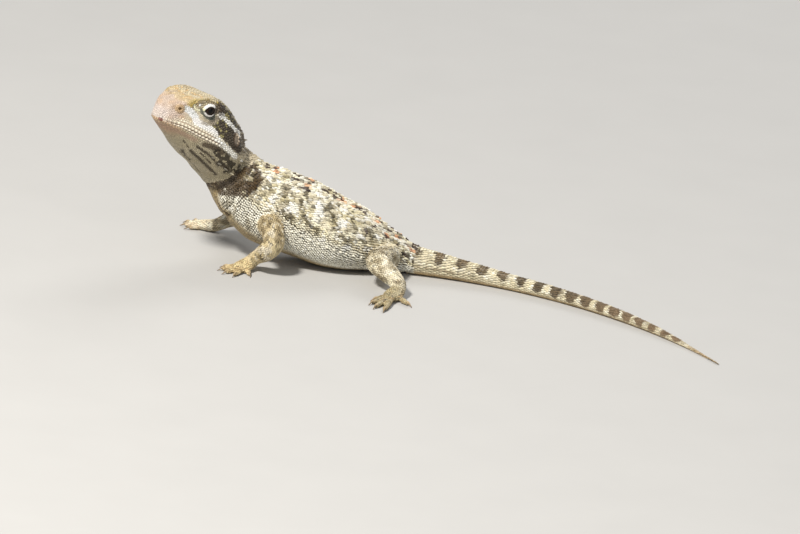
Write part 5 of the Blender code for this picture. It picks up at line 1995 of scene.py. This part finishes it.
def make_coat(surface, made):
    """All scales, in seven pieces."""
    rng = np.random.default_rng(SEED)
    station = places(surface.points)[1]
    pieces, roots, sizes = head_scales(surface, made, rng)
    coat = Coat(surface)
    for root, size in zip(roots, sizes):
        coat.spacing.takes(root, 1.3 * size)
    rows = trunk_scales(coat, rng)
    upper = abs(places(rows[:, :3])[2]) < BACK_EDGE
    pieces.append(coat_object("scales_back", rows[upper], made, rng))
    pieces.append(coat_object("scales_belly", rows[~upper], made, rng))
    pieces.append(coat_object("scales_tail", tail_scales(coat, rng), made, rng))
    for name, limbs in (("scales_arms", (0, 1)), ("scales_legs", (2, 3))):
        for k in limbs:
            limb_scales(coat, k, station, rng)
        pieces.append(coat_object(name, coat.take(), made, rng))
    return pieces


SPINE_SEED = 4
LENGTH_SPREAD = 0.14
AIM_SPREAD = 0.09
SPINE_SIDES = 8
SPINE_ROOT = 0.7  # length sunk in the skin
SPINE_RADIUS = 0.42
# Share of the free length, and thickness there as a share of the root's
SPINE_PROFILE = ((0.0, 0.94), (0.2, 0.82), (0.45, 0.6), (0.75, 0.3), (1.0, 0.04))
# On the head: point of its section, stations, lengths, aim (back, out, up), and radius
HEAD_SPINES = (
    (2, (15.6, 18.0, 20.4, 22.8, 24.8), (0.6, 0.7, 0.85, 1.0, 1.0), (0.8, 0.5, 0.35), SPINE_RADIUS),
    (8, (16.0, 18.2, 20.4, 22.6, 24.6), (0.6, 0.75, 0.9, 1.1, 1.1), (0.75, 0.65, -0.15), 0.28),
    (4, (22.8, 24.8), (1.0, 1.1), (0.8, 0.6, 0.1), 0.28),
    (5, (22.0, 24.2), (0.9, 1.1), (0.75, 0.65, 0.0), 0.28),
)
THIN_SPINE_SHARE = 0.55  # of the length, where the radius is less
FLANK_SPINES = 12
FLANK_SPINES_FROM_TO = (-12.6, 9.4)
FLANK_ANGLE = math.radians(-8.0)
NAPE_SPINES_AT = (-23.6, -22.0)
NAPE_TURNS = (-62, -24, 24, 62)


def spine_rings(root, direction, length, radius, chance):
    """Rings of one spiny scale, from its sunk root to its point."""
    length = length * (1 + LENGTH_SPREAD * chance.uniform(-1, 1))
    direction = unit(unit(np.array(direction, float)) + AIM_SPREAD * chance.uniform(-1, 1, 3))
    across = unit(np.cross(direction, (0.31, 0.17, 0.93)))
    over = np.cross(direction, across)
    turns = 2 * np.pi * np.arange(SPINE_SIDES) / SPINE_SIDES
    ring = np.outer(np.cos(turns), across) + np.outer(np.sin(turns), over)
    start = np.array(root, float) - SPINE_ROOT * direction
    rings = [start + radius * ring]
    for share, size in SPINE_PROFILE:
        rings.append(start + (SPINE_ROOT + share * length) * direction + radius * size * ring)
    return np.array(rings)


def head_spines():
    back, left, up = AXES
    chance = np.random.default_rng(SPINE_SEED)
    for side in SIDES:
        for key, stations, lengths, aim, radius in HEAD_SPINES:
            share = 1 if radius == SPINE_RADIUS else THIN_SPINE_SHARE
            for place, length in zip(stations, lengths):
                out, height = head_half_section(place)[key]
                root = head_point(place, side * (out - 0.25), height)
                direction = aim[0] * back + aim[1] * side * left + aim[2] * up
                yield spine_rings(root, direction, share * length, radius, chance)


def trunk_spines():
    """Spiny scales of the flanks, then of the nape."""
    dense = np.linspace(0, len(TRUNK) - 1, 2001)
    along = curve_through([row[0] for row in TRUNK], dense)[:, 0]
    chance = np.random.default_rng(SPINE_SEED + 1)
    start, end = np.interp(FLANK_SPINES_FROM_TO, along, dense)
    for k in range(FLANK_SPINES):
        at = start + (end - start) * k / (FLANK_SPINES - 1)
        centres, tangents, sides, sizes = trunk_frames([at])
        lift = np.cross(tangents[0], sides[0])
        for side in SIDES:
            out = side * math.cos(FLANK_ANGLE) * (sizes[0][0] - 0.15)
            root = centres[0] + out * sides[0] + math.sin(FLANK_ANGLE) * sizes[0][2] * lift
            direction = 0.75 * side * sides[0] + 0.62 * tangents[0] + 0.18 * lift
            yield spine_rings(root, direction, 0.95 if k % 2 else 0.7, SPINE_RADIUS, chance)
    chance = np.random.default_rng(SPINE_SEED + 2)
    for x in NAPE_SPINES_AT:
        centres, tangents, sides, sizes = trunk_frames(np.interp([x], along, dense))
        lift = np.cross(tangents[0], sides[0])
        for turn in NAPE_TURNS:
            s, c = math.sin(math.radians(turn)), math.cos(math.radians(turn))
            root = centres[0] + s * sizes[0][0] * sides[0] + c * sizes[0][1] * lift
            away = s * sides[0] + c * lift
            yield spine_rings(root - 0.3 * away, 0.6 * away + 0.8 * tangents[0], 0.95, 0.45, chance)


def make_spines(made):
    parts, colours = [], []
    # Colour factors along each spine, darker towards the root: painted shade where the spine rises
    # from the skin
    shares = np.repeat((0.3, 0.55, 0.8, 0.95, 1.0, 0.9), SPINE_SIDES)[:, None]
    for rings in (*head_spines(), *trunk_spines()):
        parts.append(floored(rings))
        root = rings[1].mean(axis=0)[None]
        base = markings(root, *places(root)[:3])[0]
        colours.append(shares * (0.75 * base + 0.25 * tone(236, 226, 200)))
    return faces_object("spines", *joined(parts), np.concatenate(colours), made)


# Section of the lids: share of the way from their opening to their border, and distance out
LID_SECTION = (
    (0.0, 2.09), (0.06, 2.2), (0.18, 2.28), (0.4, 2.33), (0.62, 2.33), (0.84, 2.28), (1.0, 2.18),
    (1.06, 1.8), (0.0, 1.95),
)
LID_TURNS = 120


def make_lids(made):
    """A thick rolled rim of skin round each eye."""
    turns = np.linspace(-np.pi, np.pi, LID_TURNS + 1)[:-1]
    inner, outer = lid_border(turns)
    wide = len(LID_SECTION)
    across = np.array([share for share, _ in LID_SECTION])
    points, faces, colours = [], [], []
    for side in SIDES:
        frame_of_eye = eye_frame(side)
        start = sum(len(p) for p in points)
        rings = [on_eye(frame_of_eye, inner + (outer - inner) * v, r) for v, r in LID_SECTION]
        points.append(np.stack(rings, axis=1).reshape(-1, 3))
        for k in range(LID_TURNS):
            here, there = start + k * wide, start + (k + 1) % LID_TURNS * wide
            for j in range(wide):
                n = (j + 1) % wide
                face = (here + j, here + n, there + n, there + j)
                faces.append(face if side > 0 else face[::-1])
        colours.append(lid_colour(np.repeat(turns, wide), np.tile(across, LID_TURNS)))
    return faces_object("lids", np.concatenate(points), faces, np.concatenate(colours), made)


def make_eye(side, made):
    """A round eye: black pupil, dark brown iris with a thin lighter ring, darker edge."""
    centre, along, look, upright = eye_frame(side)
    rings, around = 48, 64
    tilt = np.linspace(0.0, np.pi, rings + 1)[1:-1]
    turn = 2 * np.pi * np.arange(around) / around
    directions = (
        np.cos(tilt)[:, None, None] * look
        + (np.sin(tilt)[:, None] * np.cos(turn)[None])[..., None] * along
        + (np.sin(tilt)[:, None] * np.sin(turn)[None])[..., None] * upright
    ).reshape(-1, 3)
    directions = np.vstack([look, directions, -look])
    angle = np.degrees(np.arccos(np.clip(directions @ look, -1, 1)))
    radius = EYE_RADIUS * (0.985 + 0.015 * ramp(34, 20, angle))
    points = centre + directions * radius[:, None]
    faces = []
    for k in range(around):
        n = (k + 1) % around
        faces.append((0, 1 + k, 1 + n))
        last = 1 + (rings - 2) * around
        faces.append((len(points) - 1, last + n, last + k))
    for r in range(rings - 2):
        for k in range(around):
            n = (k + 1) % around
            a, b = 1 + r * around, 1 + (r + 1) * around
            faces.append((a + k, b + k, b + n, a + n))
    if side < 0:
        faces = [f[::-1] for f in faces]
    iris = ramp(18, 21, angle) * ramp(36, 31, angle)
    strands = noise(directions * 24, 2.0, 71)
    colour = layered(plain((16, 12, 10), points), (
        ((48, 30, 20), iris * (0.35 + 0.65 * strands)),
        ((78, 50, 30), 0.6 * bell(angle - 20.5, 1.3)),
        ((6, 5, 5), ramp(20, 17.5, angle)),
    ))
    name = "eyeball_left" if side > 0 else "eyeball_right"
    return faces_object(name, points, faces, colour, made)


def make_claws(made):
    """Curved claws, each from inside its digit down to the ground."""
    parts, shades = [], []
    outline = oval(12, 2.0)
    for limb in LIMBS:
        for middle, forward, reach, _ in digits_of(limb):
            side = np.cross(UPWARD, forward)
            start = np.array((middle[0], middle[1], 0.0)) + forward * (reach - 0.55)
            rings = []
            for t in np.linspace(0, 1, 10):
                radius = CLAW_RADIUS * (1 - 0.84 * t**0.8)
                height = 0.72 + 0.16 * math.sin(math.pi * min(1.0, 1.6 * t)) - 0.62 * t**1.6
                centre = start + forward * (0.5 + CLAW_LENGTH) * t
                centre = centre + np.array((0, 0, max(height, radius)))
                rings.append(
                    centre
                    + np.outer(outline[:, 0] * radius, side)
                    + np.outer(outline[:, 1] * radius * 1.2, UPWARD)
                )
                shade = tone(188, 166, 128) * (1 - t) + tone(104, 82, 58) * t
                shades += [shade] * len(outline)
            parts.append(floored(rings))
    return faces_object("claws", *joined(parts), np.array(shades), made)


# ---- floor, light and camera


FLOOR_REACH = 9  # metres each way


def make_floor():
    mesh = bpy.data.meshes.new("floor")
    r = FLOOR_REACH
    mesh.from_pydata([(-r, -r, 0), (r, -r, 0), (r, r, 0), (-r, r, 0)], [], [(0, 1, 2, 3)])
    mesh.materials.append(floor_material((0.47, 0.46, 0.44), 0.75, 0.03, 0.02))
    link(mesh, "floor")


def area_light(name, place, size, power, colour):
    data = bpy.data.lights.new(name, "AREA")
    data.shape = "DISK"
    data.size = size
    data.energy = power
    data.color = colour
    light = bpy.data.objects.new(name, data)
    light.location = place
    light.rotation_mode = "QUATERNION"
    light.rotation_quaternion = (Vector(LIGHT_AIM) - Vector(place)).to_track_quat("-Z", "Y")
    bpy.context.scene.collection.objects.link(light)


LIGHT_AIM = (-0.01, 0.0, 0.015)
# Name, place and size in metres, power in watts, colour
LIGHTS = (
    ("key", (-0.4, -0.4, 0.75), 0.15, 11.2, (1.0, 0.97, 0.92)),
    ("fill", (0.6, -0.7, 0.35), 0.7, 1.4, (0.93, 0.96, 1.0)),
    ("rim", (0.25, 0.7, 0.5), 0.4, 2.4, (1.0, 1.0, 1.0)),
)


def make_light():
    for light in LIGHTS:
        area_light(*light)
    world = bpy.data.worlds.new("studio")
    world.use_nodes = True
    background = world.node_tree.nodes["Background"]
    set_inputs(background, {"Color": (0.92, 0.95, 1.0, 1), "Strength": 0.34})
    bpy.context.scene.world = world
    bpy.context.scene.view_settings.view_transform = "Standard"


CAMERA_ELEVATION = math.radians(17)
CAMERA_ROLL = math.radians(6)
CAMERA_DISTANCE = 6000.0
PIXELS_PER_MM = 4.14
IMAGE_WIDTH = 800
SENSOR_WIDTH = 36.0
FRAME_MIDDLE = (16.89, 1.05)  # middle of the picture, across and up from the design's origin


def make_camera():
    """The camera looks from low down on the animal's left, a little tilted."""
    e, roll = CAMERA_ELEVATION, CAMERA_ROLL
    across = np.array((1.0, 0.0, 0.0))
    rise = np.array((0.0, math.sin(e), math.cos(e)))
    right = math.cos(roll) * across + math.sin(roll) * rise
    up = math.cos(roll) * rise - math.sin(roll) * across
    toward = np.array((0.0, -math.cos(e), math.sin(e)))
    target = FRAME_MIDDLE[0] * across + FRAME_MIDDLE[1] * rise
    place = (target + toward * CAMERA_DISTANCE + SHIFT) * MM
    data = bpy.data.cameras.new("camera")
    data.sensor_width = SENSOR_WIDTH
    data.lens = SENSOR_WIDTH * CAMERA_DISTANCE * PIXELS_PER_MM / IMAGE_WIDTH
    data.clip_start, data.clip_end = 0.1, 30.0
    camera = bpy.data.objects.new("camera", data)
    matrix = Matrix.Identity(4)
    for row in range(3):
        matrix[row] = (right[row], up[row], toward[row], place[row])
    camera.matrix_world = matrix
    bpy.context.scene.collection.objects.link(camera)
    bpy.context.scene.camera = camera


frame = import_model()
SHIFT = row_frame_shift()

make_camera()
make_light()
make_floor()

# Name, size and depth of the grain in millimetres, roughness and coat
hide = hide_material("hide", 0.35, 0.05, 0.62, 0.0)
scale_hide = hide_material("scale_hide", 0.22, 0.03, 0.5, 0.12)
lid_hide = hide_material("lid_hide", 0.3, 0.03, 0.5, 0.1)
horn = hide_material("horn", 0.5, 0.02, 0.38, 0.2)
wet = eye_material()

skin, surface = make_skin(hide)
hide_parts(*[name for name in frame["nodes"] if not name.startswith("eye")])
coats = make_coat(surface, scale_hide)
lids = make_lids(lid_hide)
eyes = [make_eye(1, wet), make_eye(-1, wet)]
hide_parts("eye_left")
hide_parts("eye_right")
claws = make_claws(horn)
spines = make_spines(scale_hide)
for piece in [skin, *coats, lids, *eyes, claws, spines]:
    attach(piece, "root")
